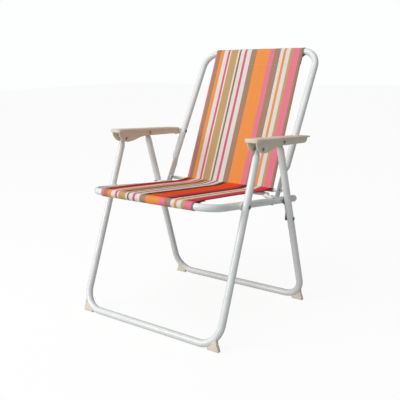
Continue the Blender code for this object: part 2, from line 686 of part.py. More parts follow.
# --- Feet -------------------------------------------------------------------------------------
def build_feet(row, bar, lean):
    """Make the two feet of a leg frame: wedges that flare from the bends to the floor."""
    stand = bar + Vector((0.0, math.copysign(FOOT_SET, lean), 0.0))
    below = -2 * TUBE_R
    for side, word in SIDES:
        outline = [(FOOT_IN, below), (FOOT_OUT, below), (FOOT_OUT, -10.0 * MM),
                   (FOOT_OUT - 3.0 * MM, 3.0 * MM), (FOOT_OUT - 5.0 * MM, 4.5 * MM),
                   (FOOT_OUT - 8.0 * MM, 24.0 * MM), (FOOT_IN - 4.5 * MM, 0.0)]
        obj = plate(f"foot_{row}_{word}", [(side * u, v) for u, v in outline], 2 * FOOT_HALF,
                    IVORY, PARTS)
        obj.matrix_world = frame_matrix(stand, 0.0)
        obj = closed_mesh(obj)
        saddle = tube("saddle", u_path(LEG_X, LEG_BEND_R, 0.2, [0.0]), TUBE_R + GAP, None, CUTTERS)
        saddle.matrix_world = frame_matrix(bar, lean)
        cut(obj, saddle)
        cut(obj, floor_cutter(bar))


def floor_cutter(bar):
    """Make the block below the floor that trims the feet flat."""
    mesh = bpy.data.meshes.new("floor")
    work = bmesh.new()
    bmesh.ops.create_cube(work, size=1.0)
    work.to_mesh(mesh)
    work.free()
    cutter = add_object("floor", mesh, None, CUTTERS)
    cutter.location = (0.0, bar.y, -0.5)
    return cutter


# --- Catch plates and rivets ------------------------------------------------------------------
def build_catch_plates():
    """Make the notched plates on the rear legs; each notch opens up and back for the hinge pin."""
    up = Vector((math.sin(REAR_LEAN), math.cos(REAR_LEAN)))
    back = Vector((up.y, -up.x))
    base = Vector((CATCH_PIVOT.y, CATCH_PIVOT.z))
    pin = Vector((HINGE.y, HINGE.z))
    exit_way = (up * 0.62 + back * 0.79).normalized()
    square = Vector((exit_way.y, -exit_way.x))
    notch_r = PIN_R + 0.6 * MM
    outline = []
    for step in range(9):
        turn = math.radians(180.0 * step / 8)
        outline.append(base - back * (CATCH_HALF * math.cos(turn)) - up * (CATCH_HALF * math.sin(turn)))
    outline.append(base + back * CATCH_HALF + up * 40.0 * MM)
    outline.append(pin + square * notch_r + exit_way * 8.0 * MM)
    for step in range(9):
        turn = math.radians(180.0 * step / 8)
        outline.append(pin + square * (notch_r * math.cos(turn)) - exit_way * (notch_r * math.sin(turn)))
    outline.append(pin - square * (notch_r + 0.8 * MM) + exit_way * 9.0 * MM)
    outline.append(pin - square * (notch_r + 3.6 * MM) + exit_way * 9.0 * MM)
    outline.append(pin - back * 7.6 * MM + up * 5.0 * MM)
    outline.append(pin - back * 7.6 * MM - up * 4.0 * MM)
    outline.append(base + back * CATCH_NECK + up * 42.0 * MM)
    outline.append(base + back * CATCH_NECK + up * 19.0 * MM)
    centre = CATCH_IN + CATCH_THICK / 2
    for side, word in SIDES:
        obj = upright_plate("catch_plate_" + word, outline, side * centre, CATCH_THICK, ZINC, PARTS)
        hole(obj, side, CATCH_PIVOT, CATCH_IN - 5 * MM, CATCH_IN + 8 * MM, RIVET_R + GAP)


def build_rivets():
    """Make every rivet and pin that lies across the chair."""
    leg_out = LEG_X + TUBE_R + GAP
    for side, word in SIDES:
        rivet("hinge_pin_" + word, side, HINGE, EYE_X - RIBBON_THICK / 2 - GAP,
              CATCH_IN + CATCH_THICK + GAP, PIN_R, head=(6.0, 1.4), tail=(6.0, 1.8))
        rivet("leg_rivet_" + word, side, LEG_PIVOT, SEAT_X - TUBE_R - GAP, leg_out)
        rivet("armrest_back_rivet_" + word, side, ARM_BACK_PIVOT, BACK_X - TUBE_R - GAP,
              ARM_IN + ARM_WALL + GAP, head=(5.0, 1.8))
        rivet("armrest_front_rivet_" + word, side, ARM_FRONT_PIVOT, ARM_IN - GAP, ARM_OUT + GAP,
              head=(4.8, 2.2), tail=(4.8, 1.0))
        rivet("armrest_rear_rivet_" + word, side, ARM_REAR_PIVOT, ARM_IN - GAP, ARM_OUT + GAP,
              head=(4.8, 2.2), tail=(4.8, 1.0))
        rivet("catch_rivet_" + word, side, CATCH_PIVOT, CATCH_IN - GAP, leg_out, tail=(5.0, 1.0))


def build_spacers():
    """Make the spacers between the seat rail and leg, and between the back post and armrest."""
    for side, word in SIDES:
        bush("seat_spacer_" + word, side, LEG_PIVOT, SEAT_X + TUBE_R + GAP, LEG_X - TUBE_R - GAP,
             RIVET_R + GAP, SPACER_R, IVORY)
        bush("back_spacer_" + word, side, ARM_BACK_PIVOT, BACK_X + TUBE_R + GAP, ARM_IN - GAP,
             RIVET_R + GAP, BACK_SPACER_R, IVORY)


# --- Cloth ------------------------------------------------------------------------------------
def cloth_strip(name, outline, material):
    """Make a plain closed solid of the cloth from its side outline."""
    obj = upright_plate(name, outline, 0.0, 2 * SLING_X, material, PARTS)
    shade_round(obj)
    return obj


def offset_line(points, thickness):
    """Return a closed outline: the line, then back along it at a distance on its left."""
    left = []
    for i, point in enumerate(points):
        before = points[max(i - 1, 0)]
        after = points[min(i + 1, len(points) - 1)]
        run = (after - before).normalized()
        left.append(point + Vector((-run.y, run.x)) * thickness)
    return list(points) + left[::-1]


def wrapped(centre, start, turn, steps=12):
    """Return points round a bar, from a start angle through a turn."""
    points = []
    for step in range(steps + 1):
        angle = start + turn * step / steps
        points.append(centre + Vector((math.cos(angle), math.sin(angle))) * CLOTH_WRAP_R)
    return points


def build_slings():
    """Make the cloth's two plain solids, wrapped round the top bar and round the front bar."""
    top = along(HINGE, BACK_LEAN, BACK_LENGTH)
    top = Vector((top.y, top.z))
    square = Vector((math.cos(BACK_CLOTH_LEAN), -math.sin(BACK_CLOTH_LEAN)))
    start = math.atan2(-square.y, -square.x)
    back_line = [CREASE, CREASE.lerp(top - square * CLOTH_WRAP_R, 0.5)]
    back_line += wrapped(top, start, -WRAP_TURN)
    cloth_strip("back_sling", offset_line(back_line, SLING_THICK), CANVAS)

    front = seat_point(SEAT_LENGTH)
    front = Vector((front.y, front.z))
    rest = Vector((SEAT_BAR_RUN.y, SEAT_BAR_RUN.z + SEAT_BAR_R + GAP))
    seat_line = [CREASE_SEAT, rest] + wrapped(front, math.radians(86.0), WRAP_TURN)
    cloth_strip("seat_sling", offset_line(seat_line[::-1], SLING_THICK), CANVAS)


# --- Build ------------------------------------------------------------------------------------
clear_scene()
PARTS = new_collection(NAME)
CUTTERS = new_collection("cutters")
SIDES = ((-1, "left"), (1, "right"))
WHITE = new_material("white_powder_coat", (0.80, 0.82, 0.82), 0.25)
IVORY = new_material("ivory_moulding", (0.78, 0.74, 0.64), 0.45)
ZINC = new_material("zinc_plate", (0.55, 0.56, 0.57), 0.35, 1.0)
CANVAS = new_material("striped_canvas", (0.85, 0.45, 0.25), 0.85)

build_front_legs()
build_rear_legs()
build_seat_frame()
build_back_frame()
build_back_bar()
build_seat_bar()
build_armrests()
build_feet("front", FRONT_BAR, FRONT_LEAN)
build_feet("rear", REAR_BAR, REAR_LEAN)
build_catch_plates()
build_rivets()
build_back_bar_rivets()
build_seat_bar_rivets()
build_spacers()
build_seat_plugs()
build_slings()
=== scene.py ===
"""Looks of a folding beach chair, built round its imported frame.

White powder-coated steel tube, ivory polypropylene mouldings, zinc-plated rivets and one striped
canvas sling.  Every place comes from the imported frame: the joints' axes and the nodes' boxes.
Lengths are in metres, +Z is up and the chair faces -Y.
"""
import json
import logging
import math
from dataclasses import dataclass, field
from enum import Enum

import bmesh
import bpy
from mathutils import Euler, Matrix, Vector


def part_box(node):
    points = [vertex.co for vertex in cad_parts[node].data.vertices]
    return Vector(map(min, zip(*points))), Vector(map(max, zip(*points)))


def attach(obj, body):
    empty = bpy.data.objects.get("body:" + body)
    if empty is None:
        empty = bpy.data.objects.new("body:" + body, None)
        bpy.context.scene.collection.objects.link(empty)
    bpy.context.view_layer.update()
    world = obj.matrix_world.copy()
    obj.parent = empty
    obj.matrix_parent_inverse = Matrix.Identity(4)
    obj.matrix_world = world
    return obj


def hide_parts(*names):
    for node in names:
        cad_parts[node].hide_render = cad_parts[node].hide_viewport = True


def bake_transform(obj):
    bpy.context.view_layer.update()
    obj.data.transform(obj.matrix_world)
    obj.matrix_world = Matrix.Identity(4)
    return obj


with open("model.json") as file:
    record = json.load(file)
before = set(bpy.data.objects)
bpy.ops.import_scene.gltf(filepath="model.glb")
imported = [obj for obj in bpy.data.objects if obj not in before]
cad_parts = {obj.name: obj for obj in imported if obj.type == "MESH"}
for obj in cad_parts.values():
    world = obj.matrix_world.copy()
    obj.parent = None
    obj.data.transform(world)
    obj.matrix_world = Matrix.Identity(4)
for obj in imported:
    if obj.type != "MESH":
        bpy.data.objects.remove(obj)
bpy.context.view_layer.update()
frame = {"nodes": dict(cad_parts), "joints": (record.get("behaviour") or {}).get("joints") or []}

LOG = logging.getLogger("beach_chair")
MM = 0.001
SIDES = {"left": -1, "right": 1}
JOINTS = {joint["name"]: Vector(joint["pos_m"]) for joint in frame["joints"]}


class Body(str, Enum):
    """The rigid bodies of the folding frame."""

    SEAT = "seat"
    BACK = "back"
    FRONT_LEGS = "front_legs"
    REAR_LEGS = "rear_legs"
    ARMRESTS = "armrests"


class Slot(str, Enum):
    """The record's material slots."""

    COAT = "white_powder_coat"
    PLASTIC = "ivory_plastic"
    ZINC = "zinc_plate"
    CLOTH = "striped_cloth"


# --- Materials --------------------------------------------------------------------------------
def linear(code: str) -> tuple[float, float, float, float]:
    """Turn an sRGB hex colour to linear RGBA.

    Args:
        code: the colour as "#RRGGBB".

    Returns:
        Linear red, green, blue and an alpha of 1.
    """
    parts = [int(code[i:i + 2], 16) / 255.0 for i in (1, 3, 5)]
    red, green, blue = [part / 12.92 if part <= 0.04045 else ((part + 0.055) / 1.055) ** 2.4
                        for part in parts]
    return red, green, blue, 1.0


def add_node(tree: bpy.types.NodeTree, kind: str, settings: dict | None = None,
             links: dict | None = None) -> bpy.types.Node:
    """Add one node with its settings and links.

    Args:
        tree: the node tree.
        kind: the node's type name.
        settings: attribute names or input sockets (name or index) with their values.
        links: input sockets (name or index) with the output socket that feeds each.

    Returns:
        The new node.
    """
    node = tree.nodes.new(kind)
    for key, value in (settings or {}).items():
        if isinstance(key, str) and hasattr(node, key):
            setattr(node, key, value)
        else:
            node.inputs[key].default_value = value
    for key, source in (links or {}).items():
        tree.links.new(source, node.inputs[key])
    return node


def new_material(name: str) -> tuple[bpy.types.Material, bpy.types.NodeTree, bpy.types.Node]:
    """Make an empty Principled material.

    Args:
        name: the material's name.

    Returns:
        The material, its node tree and its shader.
    """
    material = bpy.data.materials.new(name)
    material.use_nodes = True
    tree = material.node_tree
    return material, tree, tree.nodes["Principled BSDF"]


def object_noise(tree: bpy.types.NodeTree, size: float, detail: float) -> bpy.types.NodeSocket:
    """Add noise on Object coordinates.

    Args:
        tree: the node tree.
        size: the size of the noise's features, in metres.
        detail: its octaves.

    Returns:
        The noise's factor socket.
    """
    place = add_node(tree, "ShaderNodeTexCoord")
    noise = add_node(tree, "ShaderNodeTexNoise", {"Scale": 1.0 / size, "Detail": detail},
                     {"Vector": place.outputs["Object"]})
    return noise.outputs["Fac"]


def spread(tree: bpy.types.NodeTree, factor: bpy.types.NodeSocket, low: float,
           high: float) -> bpy.types.NodeSocket:
    """Map a noise factor onto a range.

    Args:
        tree: the node tree.
        factor: the socket to map, most of it from 0.3 to 0.7.
        low: what 0.3 gives.
        high: what 0.7 gives.

    Returns:
        The mapped value's socket.
    """
    ranged = add_node(tree, "ShaderNodeMapRange",
                      {"From Min": 0.3, "From Max": 0.7, "To Min": low, "To Max": high},
                      {"Value": factor})
    return ranged.outputs["Result"]


def two_tone(tree: bpy.types.NodeTree, factor: bpy.types.NodeSocket, first: str,
             second: str) -> bpy.types.NodeSocket:
    """Mix two hex colours by a factor.

    Args:
        tree: the node tree.
        factor: the socket that drives the mix, as noise does.
        first: the colour at its low end.
        second: the colour at its high end.

    Returns:
        The mixed colour's socket.
    """
    share = spread(tree, factor, 0.0, 1.0)
    mix = add_node(tree, "ShaderNodeMix",
                   {"data_type": "RGBA", 6: linear(first), 7: linear(second)}, {0: share})
    return mix.outputs[2]


@dataclass(frozen=True)
class HardFinish:
    """A hard surface of two near tones that cloud it, over a fine grain.

    cloud and grain are the sizes of those features and octaves their detail.  rough is the range of
    the roughness, and depth and strength are those of the grain's bump.
    """

    name: str
    tones: tuple[str, str]
    cloud: float
    grain: float
    octaves: tuple[float, float]
    rough: tuple[float, float]
    depth: float
    strength: float
    inputs: tuple[tuple[str, float], ...]

    def material(self) -> bpy.types.Material:
        """Make the material.

        Returns:
            The material.
        """
        material, tree, shader = new_material(self.name)
        for socket, value in self.inputs:
            shader.inputs[socket].default_value = value
        cloud = object_noise(tree, self.cloud, self.octaves[0])
        tree.links.new(two_tone(tree, cloud, *self.tones), shader.inputs["Base Color"])
        tree.links.new(spread(tree, cloud, *self.rough), shader.inputs["Roughness"])
        bump = add_node(tree, "ShaderNodeBump", {"Strength": self.strength, "Distance": self.depth},
                        {"Height": object_noise(tree, self.grain, self.octaves[1])})
        tree.links.new(bump.outputs["Normal"], shader.inputs["Normal"])
        return material


# Polyester powder coat, sprayed and baked on steel: glossy, with a faint orange peel.
POWDER_COAT = HardFinish(
    name="white_powder_coat_on_steel", tones=("#EDF0EF", "#E4E8E8"), cloud=60.0 * MM,
    grain=2.2 * MM, octaves=(2.0, 1.0), rough=(0.22, 0.34), depth=0.06 * MM, strength=0.35,
    inputs=(("IOR", 1.52), ("Coat Weight", 0.25), ("Coat Roughness", 0.08)))

# Injection-moulded polypropylene: satin, with the fine grain of a spark-eroded mould.
POLYPROPYLENE = HardFinish(
    name="ivory_polypropylene_moulded", tones=("#EDE4D3", "#E7DCC8"), cloud=35.0 * MM,
    grain=0.9 * MM, octaves=(3.0, 2.0), rough=(0.38, 0.52), depth=0.08 * MM, strength=0.3,
    inputs=(("IOR", 1.49), ("Specular IOR Level", 0.45)))

# Bright zinc plate on steel: a grey metal gloss, clouded by its passivation.
ZINC_PLATE = HardFinish(
    name="zinc_plated_steel", tones=("#A9ACB0", "#8E9196"), cloud=3.0 * MM,
    grain=0.8 * MM, octaves=(4.0, 2.0), rough=(0.24, 0.42), depth=0.03 * MM, strength=0.2,
    inputs=(("Metallic", 1.0),))


class Yarn(Enum):
    """The warp's dyed yarns: colour on the back, paled by painted light, darker and deeper colour
    on the seat, which is painted shade, and share of the twill.
    """

    WHITE = ("#E7E7E2", "#E6E0D6", 0.0)
    PINK = ("#EC8496", "#E0304C", 0.25)
    DEEP_PINK = ("#E2647C", "#D83A58", 0.25)
    BROWN = ("#B6917A", "#6C3818", 1.0)
    DARK_BROWN = ("#A3714E", "#5E2C14", 0.8)
    ORANGE = ("#F39A52", "#F4500C", 0.2)
    TAN = ("#CDA876", "#B07630", 0.55)


# The warp's stripes from the chair's left edge to its right one, each with its width in mm.
STRIPES = ((Yarn.PINK, 3.0), (Yarn.BROWN, 14.0), (Yarn.ORANGE, 15.0), (Yarn.WHITE, 14.5),
           (Yarn.DEEP_PINK, 8.0), (Yarn.WHITE, 6.0), (Yarn.TAN, 27.0), (Yarn.WHITE, 6.0),
           (Yarn.DARK_BROWN, 6.5), (Yarn.WHITE, 14.0), (Yarn.DEEP_PINK, 9.0), (Yarn.WHITE, 17.0),
           (Yarn.BROWN, 20.0), (Yarn.ORANGE, 50.0), (Yarn.PINK, 18.0), (Yarn.BROWN, 22.0),
           (Yarn.WHITE, 11.0), (Yarn.ORANGE, 9.0), (Yarn.WHITE, 14.0), (Yarn.TAN, 9.0),
           (Yarn.PINK, 25.0), (Yarn.BROWN, 12.0))


@dataclass(frozen=True)
class StripedCanvas:
    """Yarn-dyed cotton canvas: coloured warp over a pale weft, matt.

    The real yarns lie about 0.7 mm apart, too fine to show; they are drawn at twice that, and the
    twill's diagonal, really 1 mm, and the white stripes' cords, really 2 mm, at 4.6 mm.  Each
    stripe
    has two copies of its colour: a darker, deeper one on the seat stretch, which is painted shade,
    and a paler one on the back and round the front bar, which is painted light.
    """

    name: str
    # Where along the cut the seat's painted shade starts and ends.
    shade_from: float
    shade_to: float
    yarn: float = 1.4 * MM
    twill: float = 4.6 * MM
    twill_slope: float = 1.3
    fade: float = 5.0 * MM

    def ramp(self, tree: bpy.types.NodeTree, across: bpy.types.NodeSocket,
             painted_shade: bool) -> bpy.types.Node:
        """Add the stripes as a stepped colour ramp, with the twill's share as its alpha.

        Args:
            tree: the node tree.
            across: the place across the cloth, from 0 to 1.
            painted_shade: whether to use the seat's colours.

        Returns:
            The ramp.
        """
        ramp = add_node(tree, "ShaderNodeValToRGB", {}, {"Fac": across})
        ramp.color_ramp.interpolation = "CONSTANT"
        whole = sum(width for _, width in STRIPES)
        stops = ramp.color_ramp.elements
        stops.remove(stops[1])
        start = 0.0
        # Each stop takes the yarn's darker seat copy, which is painted shade, when the seat's
        # colours are asked for, and else its back copy, paled by painted light.
        for index, (yarn, width) in enumerate(STRIPES):
            stop = stops[0] if index == 0 else stops.new(start / whole)
            *shades, share = yarn.value
            stop.color = (*linear(shades[1 if painted_shade else 0])[:3], share)
            start += width
        return ramp

    def ridges(self, tree: bpy.types.NodeTree, place: bpy.types.NodeSocket,
               pitch: float) -> bpy.types.NodeSocket:
        """Add a sine of a distance, from 0 to 1 over each pitch.

        Args:
            tree: the node tree.
            place: the distance in metres.
            pitch: the ridges' pitch.

        Returns:
            The height socket.
        """
        turn = add_node(tree, "ShaderNodeMath", {"operation": "MULTIPLY", 1: math.tau / pitch},
                        {0: place})
        wave = add_node(tree, "ShaderNodeMath", {"operation": "SINE"}, {0: turn.outputs[0]})
        half = add_node(tree, "ShaderNodeMath", {"operation": "MULTIPLY_ADD", 1: 0.5, 2: 0.5},
                        {0: wave.outputs[0]})
        return half.outputs[0]

    def material(self, width: float) -> bpy.types.Material:
        """Make the material.

        Args:
            width: the cloth's width, which its UV map's first axis spans in metres.

        Returns:
            The material.
        """
        material, tree, shader = new_material(self.name)
        shader.inputs["Roughness"].default_value = 0.9
        shader.inputs["Specular IOR Level"].default_value = 0.08
        shader.inputs["Sheen Weight"].default_value = 0.02
        uv = add_node(tree, "ShaderNodeUVMap", {"uv_map": "cut"})
        split = add_node(tree, "ShaderNodeSeparateXYZ", {}, {0: uv.outputs["UV"]})
        across = add_node(tree, "ShaderNodeMath", {"operation": "DIVIDE", 1: width},
                          {0: split.outputs["X"]})
        # The seat stretch takes the darker copies of the stripes, painted shade, and the back and
        # the hems take the paler copies, painted light.
        seat = self.seat_shade_share(tree, split.outputs["Y"])
        pale = self.ramp(tree, across.outputs[0], False)
        stripes = add_node(tree, "ShaderNodeMix", {"data_type": "RGBA"},
                           {0: seat, 6: pale.outputs["Color"],
                            7: self.ramp(tree, across.outputs[0], True).outputs["Color"]})
        weave = add_node(tree, "ShaderNodeMath", {"operation": "MULTIPLY"},
                         {0: self.ridges(tree, split.outputs["X"], self.yarn),
                          1: self.ridges(tree, split.outputs["Y"], self.yarn)})
        figure = self.figure(tree, split, pale.outputs["Alpha"])
        slub = add_node(tree, "ShaderNodeMapping", {"Scale": (900.0, 14.0, 1.0)},
                        {"Vector": uv.outputs["UV"]})
        uneven = add_node(tree, "ShaderNodeTexNoise", {"Scale": 1.0, "Detail": 2.0},
                          {"Vector": slub.outputs["Vector"]})
        lit = spread(tree, uneven.outputs["Fac"], 0.93, 1.04)
        tone = add_node(tree, "ShaderNodeMath", {"operation": "MULTIPLY"}, {0: lit, 1: figure})
        toned = add_node(tree, "ShaderNodeVectorMath", {"operation": "SCALE"},
                         {0: stripes.outputs[2], "Scale": tone.outputs[0]})
        tree.links.new(toned.outputs[0], shader.inputs["Base Color"])
        bump = add_node(tree, "ShaderNodeBump", {"Strength": 0.5, "Distance": 0.25 * MM},
                        {"Height": weave.outputs[0]})
        tree.links.new(bump.outputs["Normal"], shader.inputs["Normal"])
        return material

    def figure(self, tree: bpy.types.NodeTree, split: bpy.types.Node,
               share: bpy.types.NodeSocket) -> bpy.types.NodeSocket:
        """Add the twill of the dyed stripes and the cords of the white ones.

        Args:
            tree: the node tree.
            split: the place across and along the cloth, in metres.
            share: how strongly the twill shows, 0 on the white stripes.

        Returns:
            The tone's socket, near 1.
        """
        slant = add_node(tree, "ShaderNodeMath", {"operation": "MULTIPLY_ADD", 1: self.twill_slope},
                         {0: split.outputs["X"], 2: split.outputs["Y"]})
        twill = self.ridges(tree, slant.outputs[0], self.twill)
        dark = add_node(tree, "ShaderNodeMapRange", {"To Min": -0.42, "To Max": 0.16},
                        {"Value": twill})
        dyed = add_node(tree, "ShaderNodeMath", {"operation": "MULTIPLY_ADD", 2: 1.0},
                        {0: dark.outputs["Result"], 1: share})
        cords = self.ridges(tree, split.outputs["X"], self.twill)
        plain = add_node(tree, "ShaderNodeMapRange",
                         {"From Max": 0.15, "To Min": -0.12, "To Max": 0.0}, {"Value": share})
        ribbed = add_node(tree, "ShaderNodeMath", {"operation": "MULTIPLY_ADD"},
                          {0: plain.outputs["Result"], 1: cords, 2: dyed.outputs[0]})
        return ribbed.outputs[0]

    def seat_shade_share(self, tree: bpy.types.NodeTree,
                   along: bpy.types.NodeSocket) -> bpy.types.NodeSocket:
        """Add the share of the seat's darker copies of the stripes, painted shade, along the cloth.

        Args:
            tree: the node tree.
            along: the distance along the cloth in metres.

        Returns:
            The share's socket, 1 on the seat and 0 on the back and round the front bar.
        """
        rise = add_node(tree, "ShaderNodeMapRange",
                        {"From Min": self.shade_from - self.fade,
                         "From Max": self.shade_from + self.fade}, {"Value": along})
        fall = add_node(tree, "ShaderNodeMapRange",
                        {"From Min": self.shade_to - self.fade, "From Max": self.shade_to,
                         "To Min": 1.0, "To Max": 0.0}, {"Value": along})
        both = add_node(tree, "ShaderNodeMath", {"operation": "MULTIPLY"},
                        {0: rise.outputs["Result"], 1: fall.outputs["Result"]})
        return both.outputs[0]


@dataclass(frozen=True)
class Thread:
    """Twisted polyester sewing thread: pale, with a slight gloss."""

    name: str = "polyester_sewing_thread"
    colour: str = "#E9DFD2"
    shade: str = "#CDBFAE"
    ply: float = 0.6 * MM

    def material(self) -> bpy.types.Material:
        """Make the material.

        Returns:
            The material.
        """
        material, tree, shader = new_material(self.name)
        shader.inputs["Roughness"].default_value = 0.55
        ply = object_noise(tree, self.ply, 2.0)
        tree.links.new(two_tone(tree, ply, self.colour, self.shade), shader.inputs["Base Color"])
        return material


@dataclass
class Finishes:
    """The chair's materials, each made once."""

    coat: bpy.types.Material = field(default_factory=POWDER_COAT.material)
    plastic: bpy.types.Material = field(default_factory=POLYPROPYLENE.material)
    zinc: bpy.types.Material = field(default_factory=ZINC_PLATE.material)
    thread: bpy.types.Material = field(default_factory=Thread().material)


# --- Mesh helpers -----------------------------------------------------------------------------
def middle(node: str) -> Vector:
    """Return the middle of a CAD node's box."""
    low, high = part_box(node)
    return (low + high) / 2


def finish_piece(name: str, work: bmesh.types.BMesh, material: bpy.types.Material,
                 sharp: float = 35.0) -> bpy.types.Object:
    """Turn a bmesh into a piece with its material, shaded smooth between its sharp edges.

    Args:
        name: the piece's name.
        work: the mesh in the making, which is freed.
        material: its material.
        sharp: the angle in degrees from which an edge stays sharp.

    Returns:
        The new object.
    """
    mesh = bpy.data.meshes.new(name)
    work.to_mesh(mesh)
    work.free()
    mesh.materials.append(material)
    mesh.shade_smooth()
    mesh.set_sharp_from_angle(angle=math.radians(sharp))
    piece = bpy.data.objects.new(name, mesh)
    bpy.context.scene.collection.objects.link(piece)
    return piece


def settle(piece: bpy.types.Object, body: Body, *nodes: str) -> bpy.types.Object:
    """Let a piece ride on a body in place of its CAD nodes, and report it.

    Args:
        piece: the piece.
        body: the body that carries it.
        nodes: the CAD nodes that it stands for.

    Returns:
        The same piece.
    """
    if nodes:
        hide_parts(*nodes)
    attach(piece, body.value)
    LOG.info("%s rides on %s", piece.name, body.value)
    return piece


def carry(work: bmesh.types.BMesh, rim: list, offset: Vector) -> list:
    """Extrude a ring of edges and move the new ring.

    Args:
        work: the mesh in the making.
        rim: the ring's edges.
        offset: how far the new ring moves.

    Returns:
        The new ring's edges.
    """
    grown = bmesh.ops.extrude_edge_only(work, edges=rim)["geom"]
    verts = {item for item in grown if isinstance(item, bmesh.types.BMVert)}
    bmesh.ops.translate(work, verts=list(verts), vec=offset)
    return [item for item in grown if isinstance(item, bmesh.types.BMEdge)
            and item.verts[0] in verts and item.verts[1] in verts]


def swing(work: bmesh.types.BMesh, rim: list, centre: Vector, angle: float, steps: int) -> list:
    """Spin a ring of edges round a bend's centre, about +Z.

    Args:
        work: the mesh in the making.
        rim: the ring's edges.
        centre: the bend's centre.
        angle: the bend's angle in degrees.
        steps: its number of steps.

    Returns:
        The last ring's edges.
    """
    spun = bmesh.ops.spin(work, geom=rim, cent=centre, axis=(0.0, 0.0, 1.0),
                          dvec=(0.0, 0.0, 0.0), angle=math.radians(angle), steps=steps,
                          use_merge=False, use_duplicate=False)
    return [item for item in spun["geom_last"] if isinstance(item, bmesh.types.BMEdge)]


def sweep(work: bmesh.types.BMesh, route: list[Vector], radius: float, segments: int = 24) -> None:
    """Sweep a closed round bar along a route.

    Args:
        work: the mesh in the making.
        route: the centre line's points.
        radius: the bar's radius.
        segments: the sides of its section.
    """
    def heading(index: int) -> Vector:
        """Return the route's direction at one of its points."""
        before = route[max(index - 1, 0)]
        after = route[min(index + 1, len(route) - 1)]
        return (after - before).normalized()

    way = heading(0)
    turn = Vector((0.0, 0.0, 1.0)).rotation_difference(way).to_matrix().to_4x4()
    bmesh.ops.create_circle(work, cap_ends=False, radius=radius, segments=segments,
                            matrix=Matrix.Translation(route[0]) @ turn)
    rim = list(work.edges)
    for index in range(1, len(route)):
        rim = carry(work, rim, route[index] - route[index - 1])
        verts = list({vert for edge in rim for vert in edge.verts})
        now = heading(index)
        bmesh.ops.rotate(work, verts=verts, cent=route[index],
                         matrix=way.rotation_difference(now).to_matrix())
        way = now
    bmesh.ops.holes_fill(work, edges=[edge for edge in work.edges if edge.is_boundary], sides=0)
    bmesh.ops.recalc_face_normals(work, faces=work.faces)


def turned(outline: list[tuple[float, float]], segments: int = 40) -> bmesh.types.BMesh:
    """Turn an outline about the Z axis.

    Args:
        outline: (radius, height) points; both ends lie on the axis, or the outline is closed.
        segments: the steps of the turn.

    Returns:
        The closed mesh.
    """
    work = bmesh.new()
    verts = [work.verts.new((radius, 0.0, height)) for radius, height in outline]
    for first, second in zip(verts, verts[1:]):
        work.edges.new((first, second))
    bmesh.ops.spin(work, geom=work.verts[:] + work.edges[:], cent=(0.0, 0.0, 0.0),
                   axis=(0.0, 0.0, 1.0), dvec=(0.0, 0.0, 0.0), angle=math.tau, steps=segments,
                   use_merge=True, use_duplicate=False)
    bmesh.ops.remove_doubles(work, verts=work.verts, dist=0.005 * MM)
    bmesh.ops.recalc_face_normals(work, faces=work.faces)
    return work


def dome(radius: float, rise: float, base: float, rim: float, steps: int = 5) -> list:
    """Return a domed head's outline from its crown down to its rim.

    Args:
        radius: the head's radius.
        rise: its height; negative for a head that points down.
        base: the height of its seat.
        rim: the share of the height that the straight rim takes.
        steps: the steps of the curve.

    Returns:
        (radius, height) points from the crown to the rim's foot.
    """
    points = []
    for step in range(steps + 1):
        turn = math.pi / 2 * step / steps
        points.append((radius * math.sin(turn),
                       base + rise * (rim + (1.0 - rim) * math.cos(turn))))
    return points + [(radius, base)]


def rounded_route(corners: list[tuple[Vector, float]], steps: int = 8) -> list[Vector]:
    """Round a route's corners.

    Args:
        corners: the corner points, each with the distance at which its rounding starts.
        steps: the points of each rounding.

    Returns:
        The route's points.
    """
    route = []
    for index, (here, reach) in enumerate(corners):
        if reach <= 0.0:
            route.append(here)
            continue
        start = here + (corners[index - 1][0] - here).normalized() * reach
        end = here + (corners[index + 1][0] - here).normalized() * reach
        for step in range(steps + 1):
            share = step / steps
            route.append(start.lerp(here, share).lerp(here.lerp(end, share), share))
    return route


# --- Tube frames ------------------------------------------------------------------------------
@dataclass(frozen=True)
class PressedEnd:
    """A tube end pressed flat: its flat and tapering lengths, half-width, tip and centre in X."""

    flat: float
    taper: float
    half: float
    tip: float
    thick: float = 5.0 * MM
    centre: float | None = None


